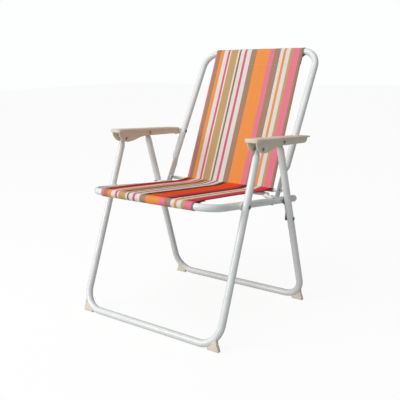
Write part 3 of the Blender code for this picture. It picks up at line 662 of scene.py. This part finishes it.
@dataclass(frozen=True)
class BentTube:
    """One U of bent tube, modelled in its own plane: legs along +Y, cross bar on Y = 0.

    lean is the way that the legs point from the cross bar, turned back from straight up.
    """

    name: str
    node: str
    body: Body
    half: float
    bend: float
    leg: float
    bar: Vector
    lean: float
    end: PressedEnd | None = None
    radius: float = 10.0 * MM
    segments: int = 36
    bend_steps: int = 20

    def placement(self) -> Matrix:
        """Return the matrix that stands the U in its place."""
        turn = Euler((math.radians(90.0) - self.lean, 0.0, 0.0)).to_matrix().to_4x4()
        return Matrix.Translation(self.bar) @ turn

    def rings(self) -> list[float]:
        """Lay out the rings of a leg's end.

        Returns:
            The distances back from the leg's end at which the tube needs a ring.
        """
        if self.end is None:
            return [0.0, 30 * MM]
        tip = self.end.tip
        near = [tip * share for share in (0.0, 0.06, 0.2, 0.45, 0.7, 1.0)]
        zone = self.end.taper / 8
        return near + [tip + self.end.flat + zone * step for step in range(9)]

    def press(self, work: bmesh.types.BMesh) -> None:
        """Press both leg ends flat, with a round tip past the rivet's hole.

        Args:
            work: the tube's mesh.
        """
        end = self.end
        pivot = self.leg - end.tip
        centre = self.half if end.centre is None else end.centre
        for vertex in work.verts:
            below = pivot - vertex.co.y
            if below > end.flat + end.taper:
                continue
            side = 1.0 if vertex.co.x > 0.0 else -1.0
            fade = min(max((below - end.flat) / end.taper, 0.0), 1.0)
            fade = fade * fade * (3.0 - 2.0 * fade)
            thin = end.thick / 2 / self.radius
            wide = end.half / self.radius
            if below < 0.0:
                wide *= math.sqrt(max(1.0 - (below / end.tip) ** 2, 0.01))
            middle = centre + (self.half - centre) * fade
            offset = side * vertex.co.x - self.half
            vertex.co.x = side * (middle + offset * (thin + (1.0 - thin) * fade))
            vertex.co.z *= wide + (1.0 - wide) * fade

    def build(self, coat: bpy.types.Material) -> bpy.types.Object:
        """Make the tube.

        Args:
            coat: its powder coat.

        Returns:
            The piece.
        """
        work = bmesh.new()
        start = (Matrix.Translation((self.half, self.leg, 0.0))
                 @ Matrix.Rotation(math.pi / 2, 4, "X"))
        bmesh.ops.create_circle(work, cap_ends=False, radius=self.radius, segments=self.segments,
                                matrix=start)
        rim = list(work.edges)
        rings = self.rings()
        stops = rings[1:] + [self.leg - self.bend]
        gone = 0.0
        for stop in stops:
            rim = carry(work, rim, Vector((0.0, gone - stop, 0.0)))
            gone = stop
        inner = self.half - self.bend
        rim = swing(work, rim, Vector((inner, self.bend, 0.0)), -90.0, self.bend_steps)
        rim = carry(work, rim, Vector((-2 * inner, 0.0, 0.0)))
        rim = swing(work, rim, Vector((-inner, self.bend, 0.0)), -90.0, self.bend_steps)
        for stop in reversed([0.0] + stops[:-1]):
            rim = carry(work, rim, Vector((0.0, gone - stop, 0.0)))
            gone = stop
        bmesh.ops.remove_doubles(work, verts=work.verts, dist=0.01 * MM)
        bmesh.ops.holes_fill(work, edges=[edge for edge in work.edges if edge.is_boundary], sides=0)
        if self.end is not None:
            self.press(work)
        bmesh.ops.recalc_face_normals(work, faces=work.faces)
        bmesh.ops.transform(work, matrix=self.placement(), verts=work.verts)
        return settle(finish_piece(self.name, work, coat), self.body, self.node)


@dataclass
class TubeFrame:
    """The four bent tubes and the two cross bars."""

    finishes: Finishes
    tube: float = 10.0 * MM
    front_lean: float = math.radians(21.44)
    rear_lean: float = math.radians(-16.03)
    back_lean: float = math.radians(29.57)
    seat_drop: float = math.radians(6.69)
    leg_tip: float = 8.0 * MM
    seat_tail: float = 80.0 * MM
    eye_tip: float = 13.0 * MM
    eye_x: float = 207.1 * MM
    leg_bend: float = 60.0 * MM
    seat_bend: float = 50.0 * MM
    back_bend: float = 52.0 * MM
    seat_bar: float = 6.0 * MM
    back_bar: float = 5.0 * MM
    bar_taper: float = 9.0 * MM
    gap: float = 0.3 * MM

    def half(self, node: str) -> float:
        """Return the distance of a frame's rails from the chair's middle."""
        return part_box(node)[1].x - self.tube

    def leg_bar(self, node: str, lean: float) -> Vector:
        """Find the middle of a leg frame's floor bar.

        Args:
            node: the leg frame's node.
            lean: how far its legs lean back going up.

        Returns:
            The point on the bar's centre line.
        """
        low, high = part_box(node)
        y = low.y + self.tube if lean > 0.0 else high.y - self.tube
        return Vector((0.0, y, low.z + self.tube))

    def seat_front(self) -> Vector:
        """Return the middle of the seat's front bar."""
        low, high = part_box("seat_frame")
        return Vector((0.0, low.y + self.tube, high.z - self.tube))

    def back_top(self) -> Vector:
        """Return the middle of the back's top bar."""
        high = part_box("back_frame")[1]
        return Vector((0.0, high.y - self.tube, high.z - self.tube))

    @staticmethod
    def span(first: Vector, second: Vector) -> float:
        """Return the distance of two points, seen from the side."""
        return math.hypot(first.y - second.y, first.z - second.z)

    def bent_tubes(self) -> list[BentTube]:
        """Lay out the four bent tubes.

        Returns:
            The tubes, ready to be built.
        """
        front = self.leg_bar("front_leg_frame", self.front_lean)
        rear = self.leg_bar("rear_leg_frame", self.rear_lean)
        hinge, seat, back = JOINTS["back_hinge"], self.seat_front(), self.back_top()
        pinch = PressedEnd(4.0 * MM, 22.0 * MM, 9.0 * MM, self.leg_tip)
        eye = PressedEnd(80.0 * MM, 26.0 * MM, 13.0 * MM, self.eye_tip, centre=self.eye_x)
        leg_half = self.half("front_leg_frame")
        front_leg = self.span(middle("armrest_front_rivet_right"), front) + self.leg_tip
        rear_leg = self.span(JOINTS["rear_leg_hinge"], rear) + self.leg_tip
        return [
            BentTube("front_leg_tube", "front_leg_frame", Body.FRONT_LEGS, leg_half, self.leg_bend,
                     front_leg, front, self.front_lean, pinch),
            BentTube("rear_leg_tube", "rear_leg_frame", Body.REAR_LEGS, leg_half, self.leg_bend,
                     rear_leg, rear, self.rear_lean, pinch),
            BentTube("seat_tube", "seat_frame", Body.SEAT, self.half("seat_frame"), self.seat_bend,
                     self.span(hinge, seat) + self.seat_tail, seat, math.pi / 2 + self.seat_drop),
            BentTube("back_tube", "back_frame", Body.BACK, self.half("back_frame"), self.back_bend,
                     self.span(hinge, back) + self.eye_tip, back, self.back_lean + math.pi, eye),
        ]

    def flatten(self, work: bmesh.types.BMesh, beyond: float, centre: Vector, axis: int,
                share: float, run: Vector | None = None, reach: float = 0.0) -> None:
        """Press a bar's ends flat along one axis.

        Args:
            work: the bar's mesh.
            beyond: the |x| past which it is flat.
            centre: the flat's centre, for its right end.
            axis: the axis that is pressed, 0 for X or 2 for Z.
            share: the flat's thickness over the bar's.
            run: if given, the flat's way, and only what lies within reach along it is pressed.
            reach: how far along run the flat goes.
        """
        taper = self.bar_taper
        for vertex in work.verts:
            side = 1.0 if vertex.co.x > 0.0 else -1.0
            past = side * vertex.co.x - (beyond - taper if axis == 2 else beyond)
            if past < 0.0:
                continue
            press = min(past / taper, 1.0)
            if run is not None:
                near = (vertex.co - Vector((vertex.co.x, centre.y, centre.z))).dot(run)
                press = 1.0 - min(max((near - reach + taper) / taper, 0.0), 1.0)
            press = press * press * (3.0 - 2.0 * press)
            flat = side * centre.x if axis == 0 else centre[axis]
            vertex.co[axis] += (flat - vertex.co[axis]) * (1.0 - share) * press

    def seat_cross_bar(self) -> None:
        """Make the bowed bar under the rear of the seat, its ends pressed flat on the rails."""
        low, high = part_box("seat_rear_bar")
        rivet = middle("seat_bar_rivet_right")
        head, flat = 1.8 * MM, 2.1 * MM
        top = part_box("seat_bar_rivet_right")[1].z - head - flat - self.gap
        end = Vector((high.x, rivet.y, top))
        run = Vector((0.172, high.y - self.seat_bar, low.z + self.seat_bar))
        flat_from = Vector((rivet.x - 7 * MM, end.y, end.z))
        drop_from = Vector((rivet.x - 24 * MM, end.y, end.z))
        route = rounded_route([(end, 0.0), (flat_from, 0.0), (drop_from, 10 * MM),
                               (run, 14 * MM), (Vector((0.0, run.y, run.z)), 0.0)])
        work = bmesh.new()
        sweep(work, self.whole(route), self.seat_bar)
        self.flatten(work, rivet.x - 8 * MM, end, 2, flat / self.seat_bar)
        settle(finish_piece("seat_cross_bar", work, self.finishes.coat), Body.SEAT,
               "seat_rear_bar")

    def back_cross_bar(self) -> None:
        """Make the bowed bar in the cloth's lower hem, its ends turned up as flat tabs."""
        low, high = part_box("back_lower_bar")
        rivet = middle("back_bar_rivet_right")
        eye, tab = 2.5 * MM, 2.2 * MM
        end = Vector((self.eye_x - eye - self.gap - tab, rivet.y, rivet.z))
        run = Vector((0.170, high.y - self.back_bar, low.z + self.back_bar))
        way = Vector((0.0, run.y - end.y, run.z - end.z)).normalized()
        route = rounded_route([(end - way * 6 * MM, 0.0), (end + way * 17 * MM, 0.0),
                               (end + way * 28 * MM, 8 * MM), (run, 14 * MM),
                               (Vector((0.0, run.y, run.z)), 0.0)])
        work = bmesh.new()
        sweep(work, self.whole(route), self.back_bar)
        self.flatten(work, end.x - 2 * self.back_bar, end, 0, 0.38, way, 18 * MM)
        settle(finish_piece("back_cross_bar", work, self.finishes.coat), Body.BACK,
               "back_lower_bar")

    @staticmethod
    def whole(right: list[Vector]) -> list[Vector]:
        """Return a bar's route from its right half, whose last point is the middle."""
        left = [Vector((-point.x, point.y, point.z)) for point in reversed(right[:-1])]
        return right + left

    def build(self) -> None:
        """Make every tube and bar."""
        for tube in self.bent_tubes():
            tube.build(self.finishes.coat)
        self.seat_cross_bar()
        self.back_cross_bar()


# --- Rivets, spacers and plugs ----------------------------------------------------------------
@dataclass(frozen=True)
class RivetKind:
    """A kind of rivet: its node's stem, body, shank, and (radius, height) of head and tail."""

    stem: str
    body: Body
    shank: float
    head: tuple[float, float]
    tail: tuple[float, float]
    upright: bool = False


RIVETS = (
    RivetKind("hinge_pin", Body.SEAT, 3.5, (6.0, 1.4), (6.0, 1.8)),
    RivetKind("leg_rivet", Body.SEAT, 3.0, (5.5, 2.4), (5.0, 2.0)),
    RivetKind("armrest_back_rivet", Body.BACK, 3.0, (5.0, 1.8), (5.0, 2.0)),
    RivetKind("armrest_front_rivet", Body.ARMRESTS, 3.0, (4.8, 2.2), (4.8, 1.0)),
    RivetKind("armrest_rear_rivet", Body.ARMRESTS, 3.0, (4.8, 2.2), (4.8, 1.0)),
    RivetKind("catch_rivet", Body.REAR_LEGS, 3.0, (5.5, 2.4), (5.0, 1.0)),
    RivetKind("back_bar_rivet", Body.BACK, 2.0, (3.2, 0.5), (3.6, 1.6)),
    RivetKind("seat_bar_rivet", Body.SEAT, 2.0, (3.8, 1.8), (3.6, 1.4), upright=True),
)


@dataclass
class Hardware:
    """The zinc-plated rivets, pins and catch plates, and the plastic spacers and end plugs."""

    finishes: Finishes
    frame: TubeFrame

    def rivet(self, kind: RivetKind, word: str, side: int) -> None:
        """Make one rivet inside its node's box.

        Args:
            kind: the kind of rivet.
            word: "left" or "right".
            side: -1 or 1.
        """
        node = f"{kind.stem}_{word}"
        low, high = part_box(node)
        place = middle(node)
        axis = 2 if kind.upright else 0
        length = high[axis] - low[axis]
        head_r, head_h, tail_r, tail_h = [value * MM for value in kind.head + kind.tail]
        grip = length - head_h - tail_h
        outline = dome(head_r, head_h, grip, 0.25)
        outline += [(kind.shank * MM, grip), (kind.shank * MM, 0.0)]
        outline += reversed(dome(tail_r, -tail_h, 0.0, 0.4))
        work = turned(outline)
        if kind.upright:
            matrix = Matrix.Translation((place.x, place.y, low.z + tail_h))
        else:
            foot = place.x - side * (length / 2 - tail_h)
            matrix = (Matrix.Translation((foot, place.y, place.z))
                      @ Matrix.Rotation(side * math.pi / 2, 4, "Y"))
        bmesh.ops.transform(work, matrix=matrix, verts=work.verts)
        piece = finish_piece(node + "_formed", work, self.finishes.zinc)
        settle(piece, kind.body, node)

    def spacer(self, node: str, body: Body) -> None:
        """Make one round plastic spacer, bored for its rivet.

        Args:
            node: the spacer's node.
            body: the body that carries it.
        """
        low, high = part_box(node)
        place = middle(node)
        radius, length, bore, rim = (high.z - low.z) / 2, high.x - low.x, 3.3 * MM, 0.8 * MM
        outline = [(bore, length), (radius - rim, length), (radius - 0.3 * rim, length - 0.3 * rim),
                   (radius, length - rim), (radius, rim), (radius - 0.3 * rim, 0.3 * rim),
                   (radius - rim, 0.0), (bore, 0.0), (bore, length)]
        work = turned(outline, 48)
        matrix = (Matrix.Translation((low.x, place.y, place.z))
                  @ Matrix.Rotation(math.pi / 2, 4, "Y"))
        bmesh.ops.transform(work, matrix=matrix, verts=work.verts)
        piece = finish_piece(node + "_ring", work, self.finishes.plastic)
        settle(piece, body, node)

    def plug(self, word: str, side: int) -> None:
        """Make one domed plug in the rear end of a seat rail.

        Args:
            word: "left" or "right".
            side: -1 or 1.
        """
        drop, tail = self.frame.seat_drop, self.frame.seat_tail
        hinge = JOINTS["back_hinge"]
        end = Vector((side * self.frame.half("seat_frame"), hinge.y + tail * math.cos(drop),
                      hinge.z - tail * math.sin(drop)))
        stem, depth, step = 7.6 * MM, 14.0 * MM, 2.0 * MM
        outline = dome(self.frame.tube, 5.0 * MM, self.frame.gap, 0.12, 8)
        outline += [(stem, self.frame.gap), (stem, step - depth), (stem - step, -depth),
                    (0.0, -depth)]
        work = turned(outline)
        turn = Euler((-(math.radians(90.0) + drop), 0.0, 0.0)).to_matrix().to_4x4()
        bmesh.ops.transform(work, matrix=Matrix.Translation(end) @ turn, verts=work.verts)
        piece = finish_piece(f"seat_plug_{word}_domed", work, self.finishes.plastic)
        settle(piece, Body.SEAT, f"seat_plug_{word}")

    def build(self) -> None:
        """Make all the hardware."""
        for word, side in SIDES.items():
            for kind in RIVETS:
                self.rivet(kind, word, side)
            self.spacer(f"seat_spacer_{word}", Body.SEAT)
            self.spacer(f"back_spacer_{word}", Body.BACK)
            self.plug(word, side)
            eased_copy(f"catch_plate_{word}", "pressed", self.finishes.zinc,
                       Body.REAR_LEGS, 0.35 * MM)


def eased_copy(node: str, word: str, material: bpy.types.Material, body: Body,
               ease: float) -> bpy.types.Object:
    """Make a copy of a CAD node with its flat faces whole and its edges eased.

    Args:
        node: the CAD node.
        word: what is added to its name.
        material: the copy's material.
        body: the body that carries it.
        ease: the width of the eased edges.

    Returns:
        The piece.
    """
    work = bmesh.new()
    work.from_mesh(frame["nodes"][node].data)
    bmesh.ops.remove_doubles(work, verts=work.verts, dist=0.05 * MM)
    bmesh.ops.dissolve_degenerate(work, dist=0.05 * MM, edges=work.edges)
    bmesh.ops.dissolve_limit(work, angle_limit=math.radians(1.0), use_dissolve_boundaries=False,
                             verts=work.verts, edges=work.edges)
    edges = [edge for edge in work.edges
             if len(edge.link_faces) == 2 and edge.calc_face_angle() > math.radians(28.0)]
    bmesh.ops.bevel(work, geom=edges, offset=ease, offset_type="OFFSET", affect="EDGES",
                    segments=3, profile=0.5, material=-1, clamp_overlap=True)
    bmesh.ops.recalc_face_normals(work, faces=work.faces)
    return settle(finish_piece(f"{node}_{word}", work, material), body, node)


@dataclass
class Mouldings:
    """The two armrests and the four feet, injection moulded in ivory polypropylene."""

    finishes: Finishes
    arm_ease: float = 0.9 * MM
    foot_ease: float = 0.8 * MM

    def build(self) -> None:
        """Make the mouldings."""
        for word in SIDES:
            for stem, body, ease in (("armrest", Body.ARMRESTS, self.arm_ease),
                                     ("foot_front", Body.FRONT_LEGS, self.foot_ease),
                                     ("foot_rear", Body.REAR_LEGS, self.foot_ease)):
                eased_copy(f"{stem}_{word}", "moulding", self.finishes.plastic, body,
                           ease)


# --- Sling ------------------------------------------------------------------------------------
@dataclass
class Sling:
    """One strip of canvas, hemmed round the seat's front bar and the back's top bar.

    The strip is cut flat, and laid along its route from hem to hem: under the seat, round the front
    bar, over the seat, up the back, round the top bar and down behind it.
    """

    finishes: Finishes
    frame: TubeFrame
    thick: float = 1.1 * MM
    clearance: float = 0.4 * MM
    hem: float = 24.0 * MM
    layer: float = 1.5 * MM
    wrap_turn: float = math.radians(235.0)
    wrap_steps: int = 24
    join: float = 22.0 * MM
    back_lean: float = math.radians(22.57)
    seat_drop: float = math.radians(4.6)
    row: float = 3.5 * MM
    columns: int = 44
    stitch: float = 3.0 * MM
    skew: float = 8.0 * MM
    skew_length: float = 620.0 * MM
    pucker: float = 22.0 * MM
    seat_sag: float = 1.8 * MM
    back_sag: float = 2.2 * MM
    top_band: float = 110.0 * MM
    edge_band: float = 7.0 * MM
    edge_lift: float = 0.25 * MM

    def wrap_radius(self) -> float:
        """Return the radius of the cloth's middle round a frame tube."""
        return self.frame.tube + self.clearance + self.thick / 2

    def hemmed(self, centre: Vector, off: Vector, way: Vector) -> list[Vector]:
        """Lay the route round a frame tube and back along the hem.

        Args:
            centre: the middle of the tube.
            off: the unit vector from it to where the cloth meets the tube.
            way: the cloth's heading there.

        Returns:
            The route from that point to the end of the hem.
        """
        radius = self.wrap_radius()
        route = []
        for step in range(self.wrap_steps + 1):
            turn = self.wrap_turn * step / self.wrap_steps
            route.append(centre + off * radius * math.cos(turn) + way * radius * math.sin(turn))
        join = centre + off * (radius - self.layer) - way * self.join
        hem = [(route[-1], 0.0), (join, 8 * MM), (join - way * self.hem, 0.0)]
        return route + rounded_route(hem, 6)[1:]

    def top_route(self) -> list[Vector]:
        """Return the route from the back's upper end round the top bar to the end of its hem."""
        up = Vector((0.0, math.sin(self.back_lean), math.cos(self.back_lean)))
        return self.hemmed(self.frame.back_top(), Vector((0.0, -up.z, up.y)), up)

    def front_route(self) -> list[Vector]:
        """Return the route from the front hem's end round the front bar to its top."""
        up = Vector((0.0, math.sin(self.seat_drop), math.cos(self.seat_drop)))
        return self.hemmed(self.frame.seat_front(), up, Vector((0.0, -up.z, up.y)))[::-1]

    def crease(self) -> Vector:
        """Find where the seat cloth turns up into the back cloth.

        Returns:
            The point, just above and in front of the back's lower bar.
        """
        low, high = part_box("back_lower_bar")
        radius = self.frame.back_bar
        return Vector((0.0, high.y - radius - 2.0 * MM, low.z + 2 * radius + 1.2 * MM))

    def seat_route(self) -> list[Vector]:
        """Lay the seat's stretch, which sags to the rear bar and rises to the crease.

        Returns:
            The route from the front bar over the rear bar to the crease.
        """
        front = self.frame.seat_front()
        low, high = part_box("seat_rear_bar")
        bar = Vector((0.0, high.y - self.frame.seat_bar, low.z + 2 * self.frame.seat_bar))
        valley = bar + Vector((0.0, -4 * MM, self.clearance + self.thick / 2 + 1.7 * MM))
        shoulder = front + Vector((0.0, 30 * MM, self.wrap_radius() - 1.6 * MM))
        waist = shoulder.lerp(valley, 0.55) + Vector((0.0, 0.0, 1.2 * MM))
        corners = [(shoulder, 0.0), (waist, 60 * MM), (valley, 16 * MM), (self.crease(), 0.0)]
        return rounded_route(corners, 10)

    def back_route(self) -> list[Vector]:
        """Return the back's stretch from the crease to the top bar."""
        return [self.crease().lerp(self.top_route()[0], share / 20) for share in range(1, 20)]

    def route(self) -> tuple[list[Vector], float, float]:
        """Lay out the whole route.

        Returns:
            The route's points, and the distances along it of the front bar's top and the crease.
        """
        front, seat = self.front_route(), self.seat_route()
        whole = front + seat + self.back_route() + self.top_route()
        return whole, self.length(front), self.length(front + seat)

    @staticmethod
    def length(route: list[Vector]) -> float:
        """Return a route's length."""
        return sum((second - first).length for first, second in zip(route, route[1:]))

    @staticmethod
    def spot(route: list[Vector], distance: float) -> tuple[Vector, Vector]:
        """Find a place on a route.

        Args:
            route: the route's points.
            distance: the distance along it.

        Returns:
            The point and the heading there.
        """
        for first, second in zip(route, route[1:]):
            step = (second - first).length
            if distance <= step and step > 0.0:
                return first.lerp(second, distance / step), (second - first) / step
            distance -= step
        return route[-1], (route[-1] - route[-2]).normalized()

    def ripple(self, x: float, distance: float, seat: tuple[float, float], whole: float) -> float:
        """Return how far the cloth stands off its route, along its normal.

        Args:
            x: the place across the chair.
            distance: the distance along the route.
            seat: the distances at which the seat starts and ends.
            whole: the route's length.

        Returns:
            The offset: small puckers by the crease and the tubes, and a slight sag of the seat.
        """
        inside = math.cos(math.pi / 2 * x / self.half())
        wave = math.sin(x / (13 * MM) + 1.3 * math.sin(x / (31 * MM)))
        start, end = seat
        top = whole - self.top_band
        offset = 0.0
        for place, strength in ((start, 0.35), (end, 0.55), (whole - 95 * MM, 0.3)):
            near = math.exp(-((distance - place) / self.pucker) ** 2)
            offset += near * strength * MM * wave
        if start < distance < end:
            share = (distance - start) / (end - start)
            offset -= self.seat_sag * inside * math.sin(math.pi * share)
        elif end < distance < top:
            share = (distance - end) / (top - end)
            offset -= self.back_sag * inside * math.sin(math.pi * share)
        return offset

    def drift(self, along: float) -> float:
        """Return how far the stripes lie off the strip's true length, to its right.

        Args:
            along: the distance along the cut.

        Returns:
            The distance: the strip is cut a little askew, which shows by the front bar.
        """
        return self.skew * max(0.0, 1.0 - along / self.skew_length)

    def half(self) -> float:
        """Return the cloth's half-width."""
        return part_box("back_sling")[1].x

    def cloth(self, name: str, route: list[Vector], material: bpy.types.Material,
              start: float = 0.0, seat: tuple[float, float] | None = None) -> bpy.types.Object:
        """Lay a flat cut strip along a route.

        Args:
            name: the piece's name.
            route: the route of the cloth's middle.
            material: its canvas.
            start: the distance along the cut at which the strip starts.
            seat: where the seat starts and ends along the route, if the strip has puckers.

        Returns:
            The piece, with its thickness and its UV map in metres.
        """
        length = self.length(route)
        rows = max(8, round(length / self.row))
        half = self.half()
        work = bmesh.new()
        uv = work.loops.layers.uv.new("cut")
        bmesh.ops.create_grid(work, x_segments=self.columns, y_segments=rows, size=0.5)
        for face in work.faces:
            for loop in face.loops:
                place = loop.vert.co
                along = start + (place.y + 0.5) * length
                loop[uv].uv = ((place.x + 0.5) * 2 * half - self.drift(along), along)
        for vertex in work.verts:
            distance = (vertex.co.y + 0.5) * length
            x = vertex.co.x * 2 * half
            point, way = self.spot(route, distance)
            normal = Vector((0.0, -way.z, way.y))
            offset = self.ripple(x, distance, seat, length) if seat else 0.0
            edge = max(0.0, 1.0 - (half - abs(x)) / self.edge_band)
            lift = offset + self.edge_lift * edge
            vertex.co = Vector((x, point.y, point.z)) + normal * lift
        bmesh.ops.recalc_face_normals(work, faces=work.faces)
        piece = finish_piece(name, work, material, 60.0)
        solid = piece.modifiers.new("thickness", "SOLIDIFY")
        solid.thickness = self.thick
        solid.offset = 0.0
        solid.use_even_offset = True
        return piece

    def stitching(self, name: str, route: list[Vector], distance: float, body: Body,
                  side: float) -> None:
        """Sew a row of lockstitch across the cloth.

        Args:
            name: the piece's name.
            route: the cloth's route.
            distance: the row's distance along the route.
            body: the body that carries it.
            side: 1 for the cloth's upper or front face, -1 for the other.
        """
        work = bmesh.new()
        half = self.half() - 5 * MM
        point, way = self.spot(route, distance)
        normal = Vector((0.0, -way.z, way.y)) * side
        lift = self.thick / 2 + 0.12 * MM
        turn = Vector((0.0, 0.0, 1.0)).rotation_difference(normal).to_matrix().to_4x4()
        size = Matrix.Diagonal((1.15 * MM, 0.32 * MM, 0.26 * MM, 1.0))
        for index in range(int(2 * half / self.stitch)):
            x = -half + (index + 0.5) * self.stitch
            made = bmesh.ops.create_icosphere(work, subdivisions=1, radius=1.0)["verts"]
            place = Matrix.Translation(Vector((x, point.y, point.z)) + normal * lift)
            bmesh.ops.transform(work, matrix=place @ turn @ size, verts=made)
        settle(finish_piece(name, work, self.finishes.thread, 80.0), body)

    def build(self) -> None:
        """Make the cloth, the tunnel of its lower hem and its stitching."""
        route, front, crease = self.route()
        length = self.length(route)
        width = 2 * self.half()
        # The seat's painted shade runs from just past the front bar's top to the crease.
        canvas = StripedCanvas("striped_cotton_canvas", front + 4 * MM, crease).material(width)
        cloth = self.cloth("sling_cloth", route, canvas, 0.0, (front, crease))
        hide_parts("back_sling", "seat_sling")
        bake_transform(cloth)
        tunnel = self.tunnel(canvas, crease)
        LOG.info("sling cut %.3f x %.3f m", width, length)
        top_hem = length - self.length(self.top_route()) - 2 * self.hem + 1 * MM
        self.stitching("top_hem_stitching", route, top_hem, Body.BACK, 1)
        self.stitching("front_hem_stitching", route, front + 30 * MM, Body.SEAT, 1)
        self.stitching("crease_stitching", route, crease + 7 * MM, Body.BACK, 1)
        self.stitching("top_hem_stitching_rear", route, length - self.hem + 8 * MM, Body.BACK, -1)

    def tunnel_route(self) -> list[Vector]:
        """Lay the hem that holds the back's lower bar.

        Returns:
            The route from seam to seam, round the bar.
        """
        low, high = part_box("back_lower_bar")
        radius = self.frame.back_bar
        centre = Vector((0.0, high.y - radius, low.z + radius))
        wrap = radius + self.clearance + self.thick / 2
        seam = self.crease() + Vector((0.0, 1.4 * MM, -0.9 * MM))
        route = [seam]
        for step in range(21):
            turn = math.radians(150.0 + 210.0 * step / 20)
            route.append(centre + Vector((0.0, math.cos(turn), math.sin(turn))) * wrap)
        return route + [seam + Vector((0.0, 2.2 * MM, 0.3 * MM))]

    def tunnel(self, canvas: bpy.types.Material, start: float) -> bpy.types.Object:
        """Make the lower hem.

        Args:
            canvas: its cloth.
            start: where it starts along the cut.

        Returns:
            The piece.
        """
        piece = self.cloth("sling_lower_hem", self.tunnel_route(), canvas, start)
        return settle(piece, Body.BACK)


# --- Stage ------------------------------------------------------------------------------------
@dataclass(frozen=True)
class Softbox:
    """A soft square light: its name, place, the length of its sides, power in watts and colour."""

    name: str
    place: tuple[float, float, float]
    size: float
    power: float
    colour: str


LAMPS = (Softbox("key_softbox", (-1.5, -2.5, 1.5), 1.3, 30.0, "#FFFEFB"),
         Softbox("overhead_softbox", (-0.3, -0.6, 2.6), 1.6, 7.0, "#FFFFFF"))


@dataclass
class Studio:
    """The pale floor, the soft lights and the camera.

    glow is the share of the floor's own light that the camera sees, and bright_way the side of the
    room that is bright.  The camera's angles are in degrees.
    """

    middle: tuple[float, float, float] = (0.0, 0.0, 0.38)
    glow: float = 0.8
    glow_strength: float = 1.12
    floor_half: float = 14.0
    floor_drop: float = 0.4 * MM
    bright_way: tuple[float, float, float] = (-0.34, -0.84, 0.42)
    room_fade: tuple[float, float] = (-0.3, 0.6)
    room_light: tuple[float, float] = (0.10, 0.86)
    lens: float = 56.606
    eye: tuple[float, float, float] = (1.12939, -1.49117, 0.73379)
    heading: float = 37.89
    tilt: float = 12.63
    roll: float = -1.15

    def floor(self) -> None:
        """Lay the pale floor, lit from within as a light table is, so that shadows stay faint."""
        material, tree, shader = new_material("pale_studio_floor")
        shader.inputs["Roughness"].default_value = 0.9
        shader.inputs["Specular IOR Level"].default_value = 0.1
        shader.inputs["Base Color"].default_value = linear("#C9C9C8")
        path = add_node(tree, "ShaderNodeLightPath")
        glow = add_node(tree, "ShaderNodeEmission",
                        {"Color": linear("#FFFFFF"), "Strength": self.glow_strength})
        share = add_node(tree, "ShaderNodeMath", {"operation": "MULTIPLY", 1: self.glow},
                         {0: path.outputs["Is Camera Ray"]})
        both = add_node(tree, "ShaderNodeMixShader", {},
                        {0: share.outputs[0], 1: shader.outputs[0], 2: glow.outputs[0]})
        tree.links.new(both.outputs[0], tree.nodes["Material Output"].inputs["Surface"])
        work = bmesh.new()
        bmesh.ops.create_grid(work, x_segments=4, y_segments=4, size=self.floor_half)
        mesh = bpy.data.meshes.new("studio_floor")
        work.to_mesh(mesh)
        work.free()
        mesh.materials.append(material)
        floor = bpy.data.objects.new("studio_floor", mesh)
        floor.location.z = -self.floor_drop
        bpy.context.scene.collection.objects.link(floor)

    def lamp(self, box: Softbox) -> None:
        """Hang one light so that it faces the chair.

        Args:
            box: the light.
        """
        light = bpy.data.lights.new(box.name, "AREA")
        light.shape = "SQUARE"
        light.size = box.size
        light.energy = box.power
        light.color = linear(box.colour)[:3]
        lamp = bpy.data.objects.new(box.name, light)
        lamp.location = box.place
        facing = Vector(self.middle) - Vector(box.place)
        lamp.rotation_euler = facing.to_track_quat("-Z", "Y").to_euler()
        bpy.context.scene.collection.objects.link(lamp)

    def sky(self) -> None:
        """Fill the room with soft light, bright at the front left and dark behind the chair.

        The camera itself sees plain white behind the chair.
        """
        world = bpy.data.worlds.new("studio_room")
        world.use_nodes = True
        tree = world.node_tree
        path = add_node(tree, "ShaderNodeLightPath")
        way = add_node(tree, "ShaderNodeTexCoord")
        facing = add_node(tree, "ShaderNodeVectorMath",
                          {"operation": "DOT_PRODUCT", 1: Vector(self.bright_way)},
                          {0: way.outputs["Generated"]})
        glow = add_node(tree, "ShaderNodeMapRange",
                        {"From Min": self.room_fade[0], "From Max": self.room_fade[1],
                         "To Min": self.room_light[0], "To Max": self.room_light[1]},
                        {"Value": facing.outputs["Value"]})
        shade = add_node(tree, "ShaderNodeMix", {"data_type": "FLOAT", 3: 1.0},
                         {0: path.outputs["Is Camera Ray"], 2: glow.outputs["Result"]})
        back = tree.nodes["Background"]
        back.inputs["Color"].default_value = linear("#FDFEFE")
        tree.links.new(shade.outputs[0], back.inputs["Strength"])
        bpy.context.scene.world = world

    def camera(self) -> None:
        """Set up the camera at standing height in front of the chair, to its right."""
        data = bpy.data.cameras.new("camera")
        data.sensor_width = 36.0
        data.lens = self.lens
        camera = bpy.data.objects.new("camera", data)
        turn = (Matrix.Rotation(math.radians(self.heading), 4, "Z")
                @ Matrix.Rotation(math.radians(90.0 - self.tilt), 4, "X")
                @ Matrix.Rotation(math.radians(self.roll), 4, "Z"))
        camera.matrix_world = Matrix.Translation(self.eye) @ turn
        bpy.context.scene.collection.objects.link(camera)
        bpy.context.scene.camera = camera

    def build(self) -> None:
        """Set the stage."""
        bpy.context.scene.view_settings.view_transform = "Standard"
        self.floor()
        self.sky()
        for box in LAMPS:
            self.lamp(box)
        self.camera()


def main() -> None:
    """Build the chair's looks and its stage."""
    logging.basicConfig(level=logging.INFO, format="%(message)s")
    finishes = Finishes()
    tubes = TubeFrame(finishes)
    tubes.build()
    Hardware(finishes, tubes).build()
    Mouldings(finishes).build()
    Sling(finishes, tubes).build()
    Studio().build()


if __name__ == "__main__":
    main()
